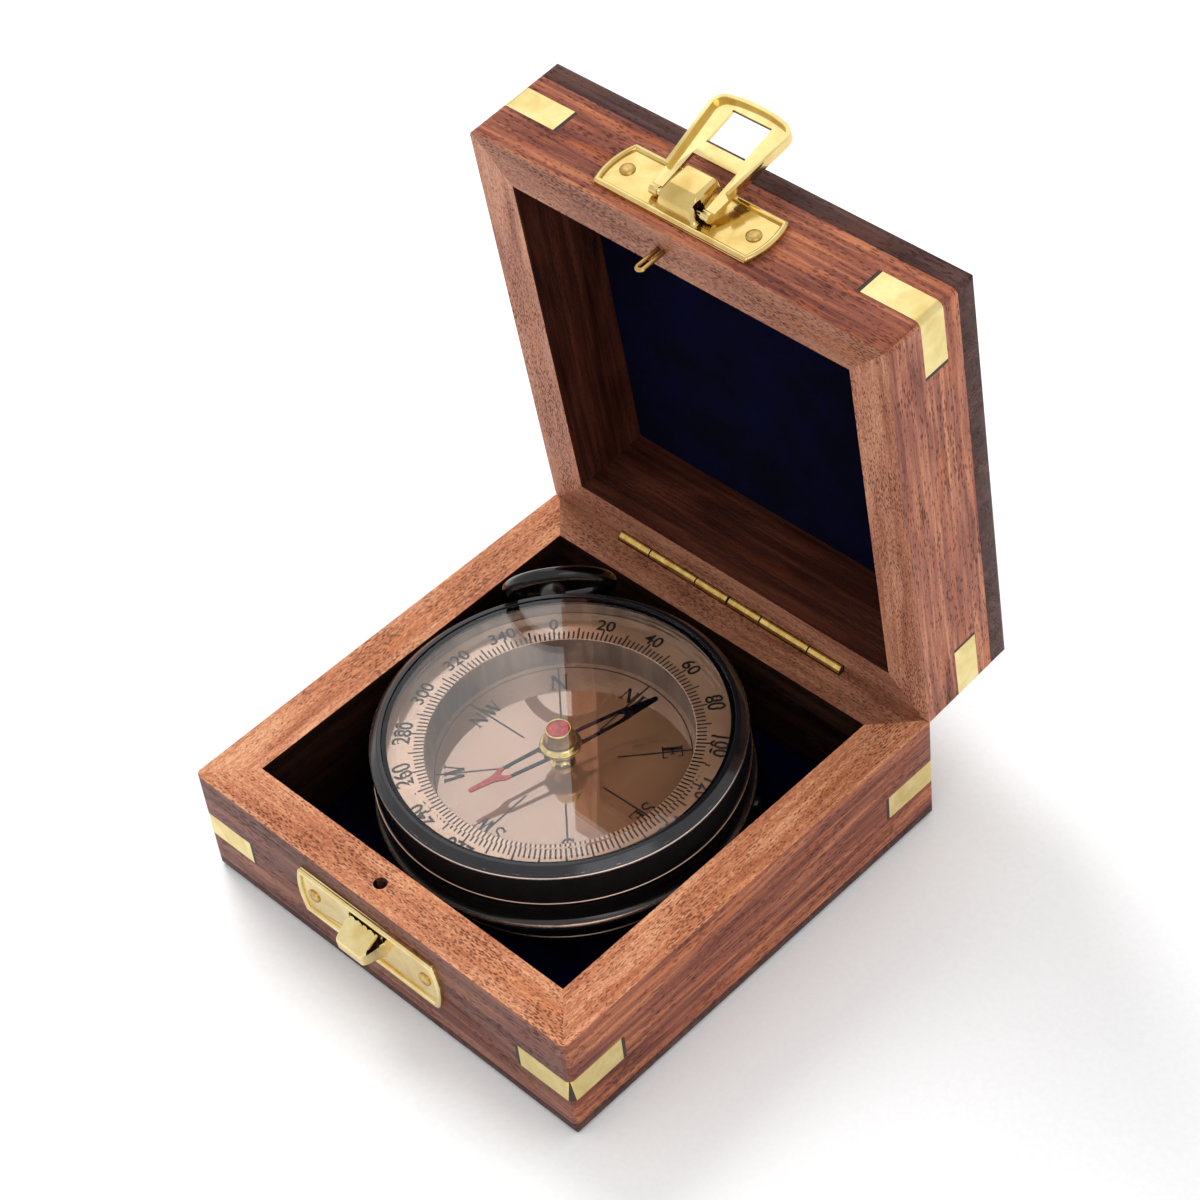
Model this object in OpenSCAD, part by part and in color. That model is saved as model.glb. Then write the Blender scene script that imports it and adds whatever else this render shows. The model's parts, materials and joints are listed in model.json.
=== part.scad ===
// Pocket compass in a hinged hardwood box, shown with the lid open.
// Millimetres. X runs along the front, Y towards the hinges, Z up from the surface it stands on.

/* [Compass case] */
// Radius of the case's plain side
case_r = 36.2; // [30:0.2:44]
// How far the bead stands out from the side
bead_out = 1.2; // [0.4:0.1:3]
// Radius of the bead's rounding
bead_round = 1.1; // [0.6:0.1:1.6]
// Height of the bead's middle above the foot
bead_z = 8.8; // [7:0.2:9.6]
// How far the foot is set in from the side
foot_in = 3.2; // [1:0.2:6]
// Height of the foot's upright edge
foot_h = 1; // [0.6:0.1:2]
// Height of the joint between case and bezel
shoulder_z = 15.8; // [14:0.2:17]
// How far the shoulder stands out from the side
shoulder_out = 0.6; // [0.2:0.1:1.5]
// Thickness of the case's floor
floor_t = 2; // [1.2:0.2:3]
// Thickness of the case's wall at the foot
case_t = 1.9; // [1.2:0.1:2.4]
// Thickness of the collar that fits up into the bezel
collar_t = 1.5; // [1:0.1:2]
// Width by which the wall below the ledge is thicker than the collar
barrel_step = 1; // [0.4:0.1:1.4]
// Height of the dial's face above the foot
dial_z = 12.6; // [11.8:0.2:14]
// Thickness of the dial plate
dial_t = 1; // [0.6:0.1:1.4]
// Width of the inner ledge that carries the dial
shelf_w = 3; // [1.6:0.2:5]

/* [Bezel, crystal and scale] */
// Height of the bezel's skirt and top together
bezel_h = 8.4; // [7.6:0.2:10]
// How far the bezel stands out from the case's side
bezel_out = 0.4; // [0:0.1:1]
// Thickness of the bezel's skirt
bezel_t = 1.6; // [1:0.1:2.2]
// Width of the bezel's sloping top
bezel_lip = 2.6; // [1.8:0.1:4]
// Height of the slope at the bezel's top
bezel_slope = 1.7; // [0.8:0.1:2.4]
// Thickness of the crystal
crystal_t = 1.8; // [1.2:0.1:2.4]
// Width of the crystal's bevel
crystal_bevel = 3.2; // [1:0.2:5]
// Depth of the crystal's bevel
bevel_drop = 0.9; // [0.3:0.1:1.1]
// How far the crystal stands above the bezel
crystal_proud = 0.4; // [0:0.1:0.6]
// Width of the ledge under the crystal
seat_w = 1.1; // [0.6:0.1:2]
// Thickness of the ledge under the crystal
seat_t = 0.8; // [0.5:0.1:1.2]
// Radius of the well inside the chapter ring
well_r = 26.2; // [23:0.2:29]
// Height of the chapter ring above the dial
ring_rise = 7; // [6:0.2:7.6]
// Thickness of the chapter ring's flange
ring_t = 1; // [0.6:0.1:1.6]
// Thickness of the chapter ring's upright wall
ring_wall = 0.8; // [0.5:0.1:1.4]

/* [Needle] */
// Direction of the dial's north mark, degrees from +X
north_az = 137; // [0:1:359]
// Direction of the needle's painted end, degrees from +X
needle_az = 254.3; // [0:0.1:359.9]
// Length of the painted arm from the centre
tip_len = 20.2; // [14:0.2:24]
// Length of the other arm from the centre
tail_len = 21.7; // [14:0.1:24]
// Half width of the needle at its middle
needle_hw = 2.9; // [2.8:0.1:4]
// Half width of the needle near its ends
needle_end_hw = 0.9; // [0.5:0.1:1.4]
// Thickness of the needle
needle_t = 0.4; // [0.3:0.1:0.7]
// Height of the needle's underside above the dial
needle_rise = 4.7; // [3.6:0.1:4.8]
// Width of the needle's metal beside its slots
needle_bar = 0.7; // [0.4:0.1:1]
// Radius of the cap's flange
cap_r = 3.9; // [3.4:0.1:5]
// Height of the cap's flange
cap_flange_t = 0.8; // [0.5:0.1:1.2]
// Radius of the cap's upright body
cap_body_r = 2.8; // [2.6:0.1:3.2]
// Height of the cap above the needle
cap_h = 4.8; // [4:0.1:4.9]
// Radius of the disc in the cap's top
jewel_r = 2.2; // [1.4:0.1:2.3]
// Depth of the disc in the cap's top
jewel_t = 0.5; // [0.3:0.1:0.8]
// Radius of the cap's spigot in the needle
spigot_r = 2.2; // [1.8:0.1:2.4]
// Length of the cap's spigot below its flange
spigot_len = 0.9; // [0.6:0.1:1.2]
// Part of the painted arm that is slotted
tip_slot = 0.62; // [0.5:0.02:0.8]
// Part of the other arm that is slotted
tail_slot = 0.78; // [0.5:0.02:0.84]
// Radius of the pivot post
post_r = 1.3; // [1:0.1:1.5]

/* [Pendant and bow] */
// Distance of the bow's swing axis from the bezel
bow_out = 4.5; // [3.8:0.1:8]
// Height of the bow's swing axis above the foot
bow_z = 17; // [15.4:0.2:18]
// Radius of the pendant's knob
knob_r = 3.4; // [3.2:0.1:4.4]
// Half length of the pendant's knob
knob_half = 3.3; // [3.1:0.1:4]
// Radius of the pendant's neck
neck_r = 2.3; // [1.6:0.1:3]
// Radius of the pendant's base on the case
pendant_base_r = 4.2; // [3:0.1:4.6]
// Thickness of the pendant's base
pendant_base_t = 0.4; // [0.2:0.1:0.8]
// Radius of the pendant's shank, riveted inside the collar
shank_r = 0.9; // [0.6:0.05:1.1]
// Radius of the bow's centre line
bow_r = 10.1; // [8.4:0.1:13]
// Thickness of the bow's rod
bow_rod = 2.8; // [2:0.1:3.2]
// Lean of the bow from upright, towards the glass
bow_lean = 31; // [20:1:34]
// Sideways slip of the bow in its loose hole
bow_slew = 11; // [0:1:12]
// Play of the rod in the pendant's hole
bow_play = 0.9; // [0.7:0.05:1]

/* [Side stud] */
// Direction of the small stud, degrees from +X
stud_az = 35; // [20:1:60]
// Height of the small stud above the foot
stud_z = 4.4; // [3.6:0.2:5]
// Radius of the stud's head
stud_r = 1.7; // [1.2:0.1:2]
// How far the stud stands out from the case's side
stud_out = 2; // [1:0.2:2.4]
// Radius of the stud's shank in the case
stud_shank_r = 0.9; // [0.6:0.1:1]

/* [Box] */
// Room between the bead and the walls, half of the whole play
case_room = 3.4; // [2:0.2:8]
// Gap between the bead and the left wall
gap_left = 0.8; // [0.5:0.1:3]
// Gap between the bead and the back wall
gap_back = 1.4; // [0.5:0.1:3]
// Thickness of the walls
wall_t = 9.2; // [7.4:0.2:14]
// Height of the lower half of the box
base_h = 26.8; // [25:0.2:34]
// Thickness of the bottom panel
bottom_t = 3.2; // [2:0.2:5]
// Thickness of the lining card in the lower half
card_t = 2; // [1:0.1:3]
// Thickness of the lid's top panel
top_t = 5; // [3:0.2:8]
// Thickness of the lining card in the lid
lid_card_t = 1.2; // [0.8:0.1:2.4]
// Clear height above the upright bow under the lid's lining
lid_room = 0.6; // [0.4:0.1:4]
// Gap between the two rims when the lid is shut
rim_gap = 0.3; // [0.2:0.05:0.6]
// Rounding of the upright corners
corner_r = 1.4; // [0.6:0.1:3]
// Rounding of the panels' edges
panel_r = 1.6; // [0.5:0.1:1.9]
// Angle between the open lid and the shut lid
open_angle = 85.2; // [60:0.2:100]

/* [Inlays] */
// Height of the brass inlays
inlay_h = 5.9; // [3:0.1:9]
// Length of an inlay's legs from the corner
inlay_leg = 14; // [8:0.5:22]
// Thickness of the inlays
inlay_t = 1; // [0.6:0.1:2]
// Middle of the lower inlays above the surface
inlay_z = 13; // [8:0.2:18]
// Middle of the upper inlays below the lid's top
inlay_drop = 11.8; // [9.6:0.2:16]

/* [Hinges] */
// Length of one hinge
hinge_len = 29.4; // [22:0.2:36]
// Length of a hinge's middle knuckle
knuckle_len = 12.4; // [8:0.2:16]
// Middle of the pair of hinges along the back
hinge_x = -1; // [-6:0.5:6]
// Gap between the two hinges
hinge_split = 0.4; // [0.2:0.1:4]
// Distance of the hinge axis in from the back
hinge_in = 1.2; // [1.1:0.05:2]
// Thickness of the hinge's knuckles
barrel_d = 2.6; // [2.2:0.1:3.2]
// Thickness of the hinge's pin
pin_d = 1.2; // [0.8:0.1:1.4]
// Thickness of the hinge's leaves
leaf_t = 0.7; // [0.5:0.1:1]
// Depth of the leaves in the wood
leaf_h = 9; // [6:0.5:14]
// Distance of the hinge nails from a leaf's ends
leaf_nail_in = 5; // [3:0.5:7]
// Thickness of the hinge nails
hinge_nail_d = 1; // [0.6:0.1:1.4]
// Length of the hinge nails
hinge_nail_len = 6; // [3:0.5:7]

/* [Latch] */
// Middle of the latch along the front
latch_x = -2.1; // [-10:0.1:10]
// Length of the latch and catch plates
plate_len = 39; // [32:0.5:60]
// Height of the latch plate
latch_h = 11.7; // [10.6:0.1:15]
// Height of the catch plate
catch_h = 12.2; // [10.6:0.1:15]
// Thickness of the plates' sheet
sheet_t = 0.6; // [0.4:0.1:0.8]
// Radius of the plates' rolled border
border_r = 0.65; // [0.4:0.05:0.7]
// Bulge of the plates' short ends
end_bulge = 1.2; // [0.6:0.1:2.4]
// Distance of the nails from the plate's middle
nail_x = 15.2; // [10:0.2:15.6]
// Radius of the latch nails' heads
nail_head_r = 1.5; // [1:0.1:2]
// Thickness of the latch nails' shanks
nail_d = 1.2; // [0.8:0.1:1.6]
// Length of the latch nails' shanks
nail_len = 6; // [3:0.5:7]
// Height of the hasp's axis above the lid's rim
pivot_up = 6.3; // [5.6:0.1:8]
// Height of the hasp's axis above the hump's lower edge
pivot_in = 2.4; // [2.2:0.1:3]
// Distance of the plate's middle below the hump's middle
plate_drop = 0.15; // [0:0.05:0.6]
// Distance of the hasp's axis from the wood
pivot_out = 1.9; // [1.9:0.05:2.2]
// Width of the hump
hump_w = 9.6; // [8:0.1:12]
// Length of the hump
hump_len = 9; // [8:0.1:10]
// Height of the hump above the wood
hump_out = 4.2; // [4:0.1:5]
// Side play between hump and hasp
hump_play = 0.4; // [0.2:0.05:0.8]

/* [Hasp and nose] */
// Length of the hasp from its axis
hasp_len = 22.8; // [22:0.2:26]
// Half width of the hasp at its tip
hasp_tip_hw = 9.65; // [8.6:0.05:12]
// Width of the hasp's arms at the axis
arm_w = 2; // [1.4:0.1:3]
// Thickness of the hasp's sheet
hasp_t = 0.8; // [0.6:0.05:1]
// Radius of the arms' round ends
eye_r = 1; // [0.8:0.05:1.2]
// Radius of the hasp's turned-in ends
hasp_pin_r = 0.8; // [0.6:0.05:0.9]
// Reach of the turned-in ends under the hump
hasp_pin_in = 1.4; // [0.8:0.1:3]
// Start of the folded edges, from the axis
fold_start = 4.8; // [4:0.2:9]
// Depth of the hasp's folded edges
fold_h = 1.1; // [0.6:0.1:1.2]
// Rounding of the hasp's tip corners
tip_round = 3; // [2:0.1:4]
// Radius of the hasp's tip edge
tip_arc = 34; // [26:1:60]
// Width of the hasp's window
window_w = 9.2; // [8:0.1:11]
// Length of the hasp's window
window_len = 7.8; // [7:0.1:8.4]
// Width of the crossbar between the window and the gap
crossbar = 3; // [2:0.1:4]
// End of the gap next to the hump
gap_end = 9.4; // [8.6:0.1:10]
// Outward lean of the hasp as it lies open
hasp_lean = 13; // [8:1:20]
// Outward lean of the hasp when it is shut
shut_lean = 6.3; // [6:0.1:12]
// Play of the nose in the window, each side
nose_play = 0.4; // [0.3:0.05:0.8]
// Play of the nose in the window, each end
nose_end_play = 0.8; // [0.6:0.05:1.2]
// Height of the nose above the wood
nose_out = 5.2; // [5:0.1:6.5]
// Thickness of the nose's drawn metal
nose_t = 0.8; // [0.5:0.05:1]
// Middle of the catch plate below the middle of the nose
nose_up = 1.1; // [0:0.1:1.4]

/* [Locating loop] */
// Place of the loop along the front, from the latch's middle
loop_off = -0.2; // [-6:0.1:6]
// Thickness of the loop's wire
wire_d = 0.9; // [0.6:0.05:1.2]
// Bend radius of the loop's wire
wire_bend = 0.7; // [0.6:0.05:1]
// Length of the loop below the rim
loop_out = 6.4; // [4:0.2:8]
// Length of the loop's legs in the wood
loop_in = 5; // [3:0.5:8]
// Play of the loop in its hole
loop_play = 0.25; // [0.2:0.05:0.5]

/* [Fits] */
// Clearance round a nail or a spigot
fit = 0.05; // [0.03:0.01:0.1]
// Clearance of the hinge pin in the knuckles
pin_fit = 0.05; // [0.02:0.01:0.1]
// Gap between pieces that move past each other
run_gap = 0.15; // [0.1:0.05:0.3]
// Gap round the lining cards
card_gap = 0.2; // [0.1:0.1:0.6]

/* [Hidden] */
$fn = 64;
big = 400;

// Levels of the box
foot_z = bottom_t + card_t;
hinge_z = base_h + rim_gap / 2;
lid_rim = base_h + rim_gap;
lid_card_z = foot_z + bow_z + 2 * bow_r + bow_rod / 2 + lid_room;
lid_wall_z = lid_card_z + lid_card_t;
box_h = lid_wall_z + top_t;

// Plan of the box
bead_r = case_r + bead_out;
cavity = 2 * (bead_r + case_room);
box = cavity + 2 * wall_t;
half = box / 2;
compass_x = gap_left - case_room;
compass_y = case_room - gap_back;
hinge_y = half - hinge_in;

// Compass levels above its foot
bezel_r = case_r + bezel_out;
bezel_top = shoulder_z + bezel_h;
bow_u = bezel_r + bow_out;
pendant_in = max(bezel_r, case_r + shoulder_out) + fit;
crystal_top = bezel_top + crystal_proud;
seat_z = crystal_top - crystal_t;
crystal_r = bezel_r - bezel_lip;
collar_r = bezel_r - bezel_t - fit;
barrel_in_r = collar_r - collar_t;
needle_z = dial_z + needle_rise;
cap_base = needle_z + needle_t;
cup_z = 2;

// Latch levels with the lid shut
pivot_z = lid_rim + pivot_up;
hump_z = pivot_z - pivot_in;
latch_z = hump_z + hump_len / 2 - plate_drop;
window_near = gap_end + crossbar;
window_far = window_near + window_len;
nose_z = pivot_z - (window_near + window_far) / 2 * cos(shut_lean);
nose_len = window_len - 2 * nose_end_play;
nose_hw = window_w / 2 - nose_play;
catch_z = nose_z - nose_up;
gap_hw = hump_w / 2 + hump_play;
loop_r = wire_bend + wire_d / 2 + loop_play;

function arc(cx, cy, r, a0, a1, n) =
    [for (i = [0:n]) [cx + r * cos(a0 + (a1 - a0) * i / n), cy + r * sin(a0 + (a1 - a0) * i / n)]];

// Turns and lifts a lid piece from its shut place to its open place
module open_lid() {
    translate([0, hinge_y, hinge_z]) rotate([-open_angle, 0, 0]) translate([0, -hinge_y, -hinge_z])
        children();
}

// Upright block with rounded corners that gives the box its outline
module outline(z0, z1, r) {
    translate([0, 0, z0]) linear_extrude(z1 - z0) union() {
        square([box - 2 * r, box], center = true);
        square([box, box - 2 * r], center = true);
        for (x = [-1, 1], y = [-1, 1]) translate([x * (half - r), y * (half - r)]) circle(r);
    }
}

// One mitred wall at the front, between two levels
module plain_wall(z0, z1) {
    intersection() {
        translate([0, 0, z0]) linear_extrude(z1 - z0)
            polygon([[-half, -half], [half, -half], [half - wall_t, wall_t - half],
                [wall_t - half, wall_t - half]]);
        outline(z0, z1, corner_r);
    }
}

// The rebates that the four inlays of one half lie in, and the inlays themselves
module inlay_space(zc, sx, sy, over) {
    reach = inlay_leg + over;
    difference() {
        translate([sx > 0 ? half - inlay_leg : -half - over, sy > 0 ? half - inlay_leg : -half - over,
            zc - inlay_h / 2]) cube([reach, reach, inlay_h]);
        translate([inlay_t - half, inlay_t - half, zc - inlay_h])
            cube([box - 2 * inlay_t, box - 2 * inlay_t, 2 * inlay_h]);
    }
}

module inlay(zc, sx, sy) {
    color("gold") intersection() {
        inlay_space(zc, sx, sy, 0);
        outline(zc - inlay_h, zc + inlay_h, corner_r);
    }
}

module inlay_rebates(zc) {
    for (x = [-1, 1], y = [-1, 1]) inlay_space(zc, x, y, 1);
}

// A flat panel with its outer edges rounded over, outer face up or down
module panel(z0, t, up) {
    intersection() {
        outline(z0, z0 + t, corner_r);
        for_edges(z0, t, up, 0);
        for_edges(z0, t, up, 90);
    }
}

module for_edges(z0, t, up, turn) {
    zr = up ? z0 + t - panel_r : z0 + panel_r;
    rotate([0, 0, turn]) translate([0, half, 0]) rotate([90, 0, 0]) linear_extrude(box) union() {
        translate([-half, up ? z0 : zr]) square([box, t - panel_r]);
        translate([panel_r - half, z0]) square([box - 2 * panel_r, t]);
        for (x = [-1, 1]) translate([x * (half - panel_r), zr]) circle(panel_r);
    }
}

// Hinge parts, each module centred on the middle of one hinge
hinge_mid = (hinge_len + hinge_split) / 2;
leaf_nail_x = hinge_len / 2 - leaf_nail_in;
leaf_nail_part = 0.62;
leaf_nail_z = leaf_h * leaf_nail_part;
stop_angle = open_angle / 2;

module along_x(len, r) {
    rotate([0, 90, 0]) cylinder(h = len, r = r, center = true);
}

module at_hinges() {
    for (s = [-1, 1]) translate([hinge_x + s * hinge_mid, hinge_y, hinge_z]) children();
}

// Groove for the knuckles, kerf for the leaf and holes for the nails, in both back walls
module hinge_cuts(side) {
    at_hinges() {
        along_x(hinge_len + 2 * run_gap, barrel_d / 2 + run_gap);
        translate([-hinge_len / 2 - run_gap, -leaf_t / 2 - fit, side > 0 ? 0 : -leaf_h - fit])
            cube([hinge_len + 2 * run_gap, leaf_t + 2 * fit, leaf_h + fit]);
        for (s = [-1, 1]) translate([s * leaf_nail_x, 0, side * leaf_nail_z]) hinge_nail(fit);
    }
}

// A nail driven in from the back face, or the hole for it, which starts clear of that face
module hinge_nail(grow) {
    start = grow > 0 ? 1 : 0;
    translate([0, hinge_in + start, 0]) rotate([90, 0, 0])
        cylinder(h = hinge_nail_len + start + grow, r = hinge_nail_d / 2 + grow);
}

// Bevel along the back rim; the two bevels meet as the open lid's stop
module stop_bevel(side) {
    reach = 4;
    translate([-half - 1, hinge_y, hinge_z + side * run_gap / 2]) rotate([90, 0, 90])
        linear_extrude(box + 2)
            polygon([[0, 0], [reach, side * reach * tan(stop_angle)], [reach, -side * reach]]);
}

module knuckle(x0, x1) {
    translate([(x0 + x1) / 2, 0, 0]) along_x(x1 - x0, barrel_d / 2);
}

// side 1 is the lid's leaf with the middle knuckle, side -1 the fixed leaf with the outer two
module leaf(side) {
    k = knuckle_len / 2;
    e = hinge_len / 2;
    color("goldenrod") difference() {
        union() {
            translate([-e, -leaf_t / 2, side > 0 ? 0 : -leaf_h]) cube([hinge_len, leaf_t, leaf_h]);
            if (side > 0) knuckle(-k, k);
            if (side < 0) {
                knuckle(-e, -k - run_gap);
                knuckle(k + run_gap, e);
            }
        }
        along_x(hinge_len + 2, pin_d / 2 + pin_fit);
        if (side < 0) along_x(knuckle_len + 2 * run_gap, barrel_d / 2 + run_gap);
        if (side > 0) for (s = [-1, 1]) translate([s * (k + e) / 2, 0, 0])
            along_x(e - k + 0.02, barrel_d / 2 + run_gap);
        for (s = [-1, 1]) translate([s * leaf_nail_x, 0, side * leaf_nail_z]) hinge_nail(fit);
    }
}

module hinge_nails(side) {
    color("darkgoldenrod") at_hinges() for (s = [-1, 1])
        translate([s * leaf_nail_x, 0, side * leaf_nail_z]) hinge_nail(0);
}

// Latch plates: x along, z up, wood at y = 0 and the outside towards -y
arc_r = function(h) (h * h / 4 + end_bulge * end_bulge) / (2 * end_bulge);

module plate_outline(h, t) {
    r = arc_r(h);
    intersection() {
        translate([-plate_len / 2, -t, -h / 2]) cube([plate_len, t, h]);
        union() {
            translate([end_bulge - plate_len / 2, -t - 1, -h / 2])
                cube([plate_len - 2 * end_bulge, t + 2, h]);
            for (s = [-1, 1]) translate([s * (plate_len / 2 - r), 1, 0]) rotate([90, 0, 0])
                cylinder(h = t + 2, r = r, $fn = 128);
        }
    }
}

module rolled_border(h) {
    r = arc_r(h);
    zc = h / 2 - border_r;
    xc = plate_len / 2 - r + sqrt((r - border_r) * (r - border_r) - zc * zc);
    intersection() {
        translate([-plate_len, -2 * border_r - sheet_t, -h])
            cube([2 * plate_len, 2 * border_r + sheet_t, 2 * h]);
        translate([0, -sheet_t, 0]) {
            for (s = [-1, 1]) {
                translate([0, 0, s * zc]) along_x(2 * xc, border_r);
                for (x = [-1, 1]) translate([x * xc, 0, s * zc]) sphere(border_r);
                intersection() {
                    translate([s * (plate_len / 2 - r), 0, 0]) rotate([90, 0, 0])
                        rotate_extrude($fn = 128) translate([r - border_r, 0]) circle(border_r, $fn = 32);
                    translate([s > 0 ? xc - end_bulge : -xc - border_r * 3, -border_r, -zc])
                        cube([end_bulge + border_r * 3, 2 * border_r, 2 * zc]);
                }
            }
        }
    }
}

module nail_holes() {
    for (s = [-1, 1]) translate([s * nail_x, 1, 0]) rotate([90, 0, 0])
        cylinder(h = sheet_t + 2, r = nail_d / 2 + fit);
}

module latch_nail(grow) {
    rim = 0.15;
    dome = 0.32 * nail_head_r;
    rotate([-90, 0, 0]) {
        translate([0, 0, -sheet_t]) cylinder(h = nail_len + sheet_t + grow, r = nail_d / 2 + grow);
        if (grow == 0) rotate_extrude()
            polygon(concat([[0, -sheet_t]], [[nail_head_r, -sheet_t]],
                [for (p = arc(0, 0, 1, 0, 90, 6)) [nail_head_r * p[0], -sheet_t - rim - dome * p[1]]]));
    }
}

module nail_pair(grow) {
    for (s = [-1, 1]) translate([s * nail_x, 0, 0]) latch_nail(grow);
}

// Strap drawn up from the latch plate; the hasp's turned-in ends lie under it
module hump() {
    t = nose_t;
    l = hump_len;
    o = hump_out;
    w = hump_w / 2;
    low_in = 1.4;
    top_in = 2.4;
    chin = 1.2;
    brow = 2.2;
    flank = 1.1;
    corner = 0.3;
    outer = [[0, 0], [corner, o - chin], [low_in, o], [l - top_in, o], [l - 2 * corner, o - brow], [l, 0]];
    inner = [[t, -1], [t + corner, o - chin - corner], [low_in + corner, o - t],
        [l - top_in - corner, o - t], [l - t - 2 * corner, o - brow - corner], [l - t, -1]];
    intersection() {
        translate([-w, 0, 0]) rotate([90, 0, 90]) linear_extrude(hump_w) difference() {
            polygon([for (p = outer) [-p[1], p[0]]]);
            polygon([for (p = inner) [-p[1], p[0]]]);
        }
        translate([0, 0, -1]) linear_extrude(l + 2)
            polygon([[-w, 0], [w, 0], [w, flank - o], [w - flank, -o], [flank - w, -o], [-w, flank - o]]);
    }
}

// Hood drawn out of the catch plate, its mouth upwards
module nose_form(inset) {
    w = nose_hw - inset;
    o = nose_out - inset;
    b = inset - nose_len / 2;
    top = nose_len / 2 + inset;
    crest_z = b + 2.2;
    mouth = 2 - inset;
    flank = 1.6;
    crest_hw = w * 0.62;
    intersection() {
        translate([-w, 0, 0]) rotate([90, 0, 90]) linear_extrude(2 * w)
            polygon([[2 * inset, b], [-o * 0.6, b], [-o * 0.93, (b + crest_z) / 2], [-o, crest_z],
                [-mouth, top], [2 * inset, top]]);
        translate([0, 0, -nose_len]) linear_extrude(2 * nose_len)
            polygon([[-w, 2 * inset], [-w, -flank], [-crest_hw, -o - 0.1], [crest_hw, -o - 0.1],
                [w, -flank], [w, 2 * inset]]);
    }
}

// Hasp in the plane of its axis: x across, z from the axis to the tip
root_hw = gap_hw + arm_w;
side_slope = (hasp_tip_hw - root_hw) / hasp_len;
side_angle = atan(side_slope);
tip_z0 = hasp_len - tip_arc;
corner_a = root_hw - tip_round / cos(side_angle);
corner_b = corner_a * side_slope - tip_z0;
corner_q = tip_arc - tip_round;
corner_c = corner_a * corner_a + tip_z0 * tip_z0 - corner_q * corner_q;
corner_m = 1 + side_slope * side_slope;
corner_z = (sqrt(corner_b * corner_b - corner_m * corner_c) - corner_b) / corner_m;
corner_x = corner_a + side_slope * corner_z;
corner_dir = atan2(corner_z - tip_z0, corner_x);

function hasp_side(inset) = concat(
    [[root_hw - side_slope - inset / cos(side_angle), -1]],
    arc(corner_x, corner_z, tip_round - inset, -side_angle, corner_dir, 6),
    arc(0, tip_z0, tip_arc - inset, corner_dir, 90, 4));

module hasp_sheet(inset) {
    right = hasp_side(inset);
    n = len(right);
    polygon(concat(right, [for (i = [n - 1:-1:0]) [-right[i][0], right[i][1]]]));
}

module hasp_form() {
    difference() {
        union() {
            translate([0, hasp_t / 2, 0]) rotate([90, 0, 0]) linear_extrude(hasp_t) hasp_sheet(0);
            intersection() {
                translate([0, -hasp_t / 2 + 0.01, 0]) rotate([90, 0, 0])
                    linear_extrude(fold_h) difference() {
                        hasp_sheet(0);
                        hasp_sheet(hasp_t);
                    }
                translate([-hasp_len, -hasp_len, fold_start]) cube(2 * hasp_len);
            }
            for (s = [-1, 1]) translate([s * (gap_hw + arm_w / 2), 0, 0]) along_x(arm_w - run_gap, eye_r);
        }
        translate([-gap_hw, -5, -5]) cube([2 * gap_hw, 10, 5 + gap_end]);
        translate([-window_w / 2, -5, window_near]) cube([window_w, 10, window_len]);
    }
    pin_x0 = hump_w / 2 - hasp_pin_in;
    pin_x1 = gap_hw + arm_w / 4;
    for (s = [-1, 1]) translate([s * (pin_x0 + pin_x1) / 2, 0, 0]) along_x(pin_x1 - pin_x0, hasp_pin_r);
}

// Wire staple under the lid's rim, its round end downwards
module loop_form(grow) {
    for (s = [-1, 1]) translate([s * wire_bend, 0, wire_bend + wire_d / 2 - loop_out])
        cylinder(h = loop_out + loop_in - wire_bend - wire_d / 2 + grow, r = wire_d / 2 + grow, $fn = 32);
    intersection() {
        translate([0, 0, wire_bend + wire_d / 2 - loop_out]) rotate([90, 0, 0])
            rotate_extrude($fn = 48) translate([wire_bend, 0]) circle(wire_d / 2, $fn = 32);
        translate([-3, -3, -loop_out - 3]) cube([6, 6, 3 + wire_bend + wire_d / 2]);
    }
}

loop_x = latch_x + loop_off;
loop_y = wall_t / 2 - half;

// Lower half of the box
module base_front_wall() {
    color("peru") difference() {
        plain_wall(bottom_t, base_h);
        inlay_rebates(inlay_z);
        translate([latch_x, -half, catch_z]) nail_pair(fit);
        translate([loop_x, loop_y, base_h - loop_out - 1]) cylinder(h = big, r = loop_r);
    }
}

module base_back_wall() {
    color("peru") difference() {
        rotate([0, 0, 180]) plain_wall(bottom_t, base_h);
        inlay_rebates(inlay_z);
        hinge_cuts(-1);
        stop_bevel(-1);
    }
}

module base_left_wall() {
    color("sienna") difference() {
        rotate([0, 0, -90]) plain_wall(bottom_t, base_h);
        inlay_rebates(inlay_z);
        stop_bevel(-1);
    }
}

module base_right_wall() {
    color("sienna") difference() {
        rotate([0, 0, 90]) plain_wall(bottom_t, base_h);
        inlay_rebates(inlay_z);
        stop_bevel(-1);
    }
}

module base_bottom_panel() {
    color("saddlebrown") panel(0, bottom_t, false);
}

module base_lining() {
    side = cavity - 2 * card_gap;
    color("navy") translate([-side / 2, -side / 2, bottom_t]) cube([side, side, card_t]);
}

module base_inlay_front_left() { inlay(inlay_z, -1, -1); }
module base_inlay_front_right() { inlay(inlay_z, 1, -1); }
module base_inlay_back_left() { inlay(inlay_z, -1, 1); }
module base_inlay_back_right() { inlay(inlay_z, 1, 1); }

module catch_plate() {
    color("gold") translate([latch_x, -half, catch_z]) difference() {
        union() {
            difference() {
                union() {
                    plate_outline(catch_h, sheet_t);
                    rolled_border(catch_h);
                }
                nail_holes();
            }
            intersection() {
                translate([0, 0, nose_up]) nose_form(0);
                translate([-plate_len, -2 * nose_out, -catch_h]) cube([2 * plate_len, 2 * nose_out, big]);
            }
        }
        translate([0, 0, nose_up]) nose_form(nose_t);
    }
}

module catch_nails() {
    color("goldenrod") translate([latch_x, -half, catch_z]) nail_pair(0);
}

module left_hinge_base_leaf() { translate([hinge_x - hinge_mid, hinge_y, hinge_z]) leaf(-1); }
module right_hinge_base_leaf() { translate([hinge_x + hinge_mid, hinge_y, hinge_z]) leaf(-1); }

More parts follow.
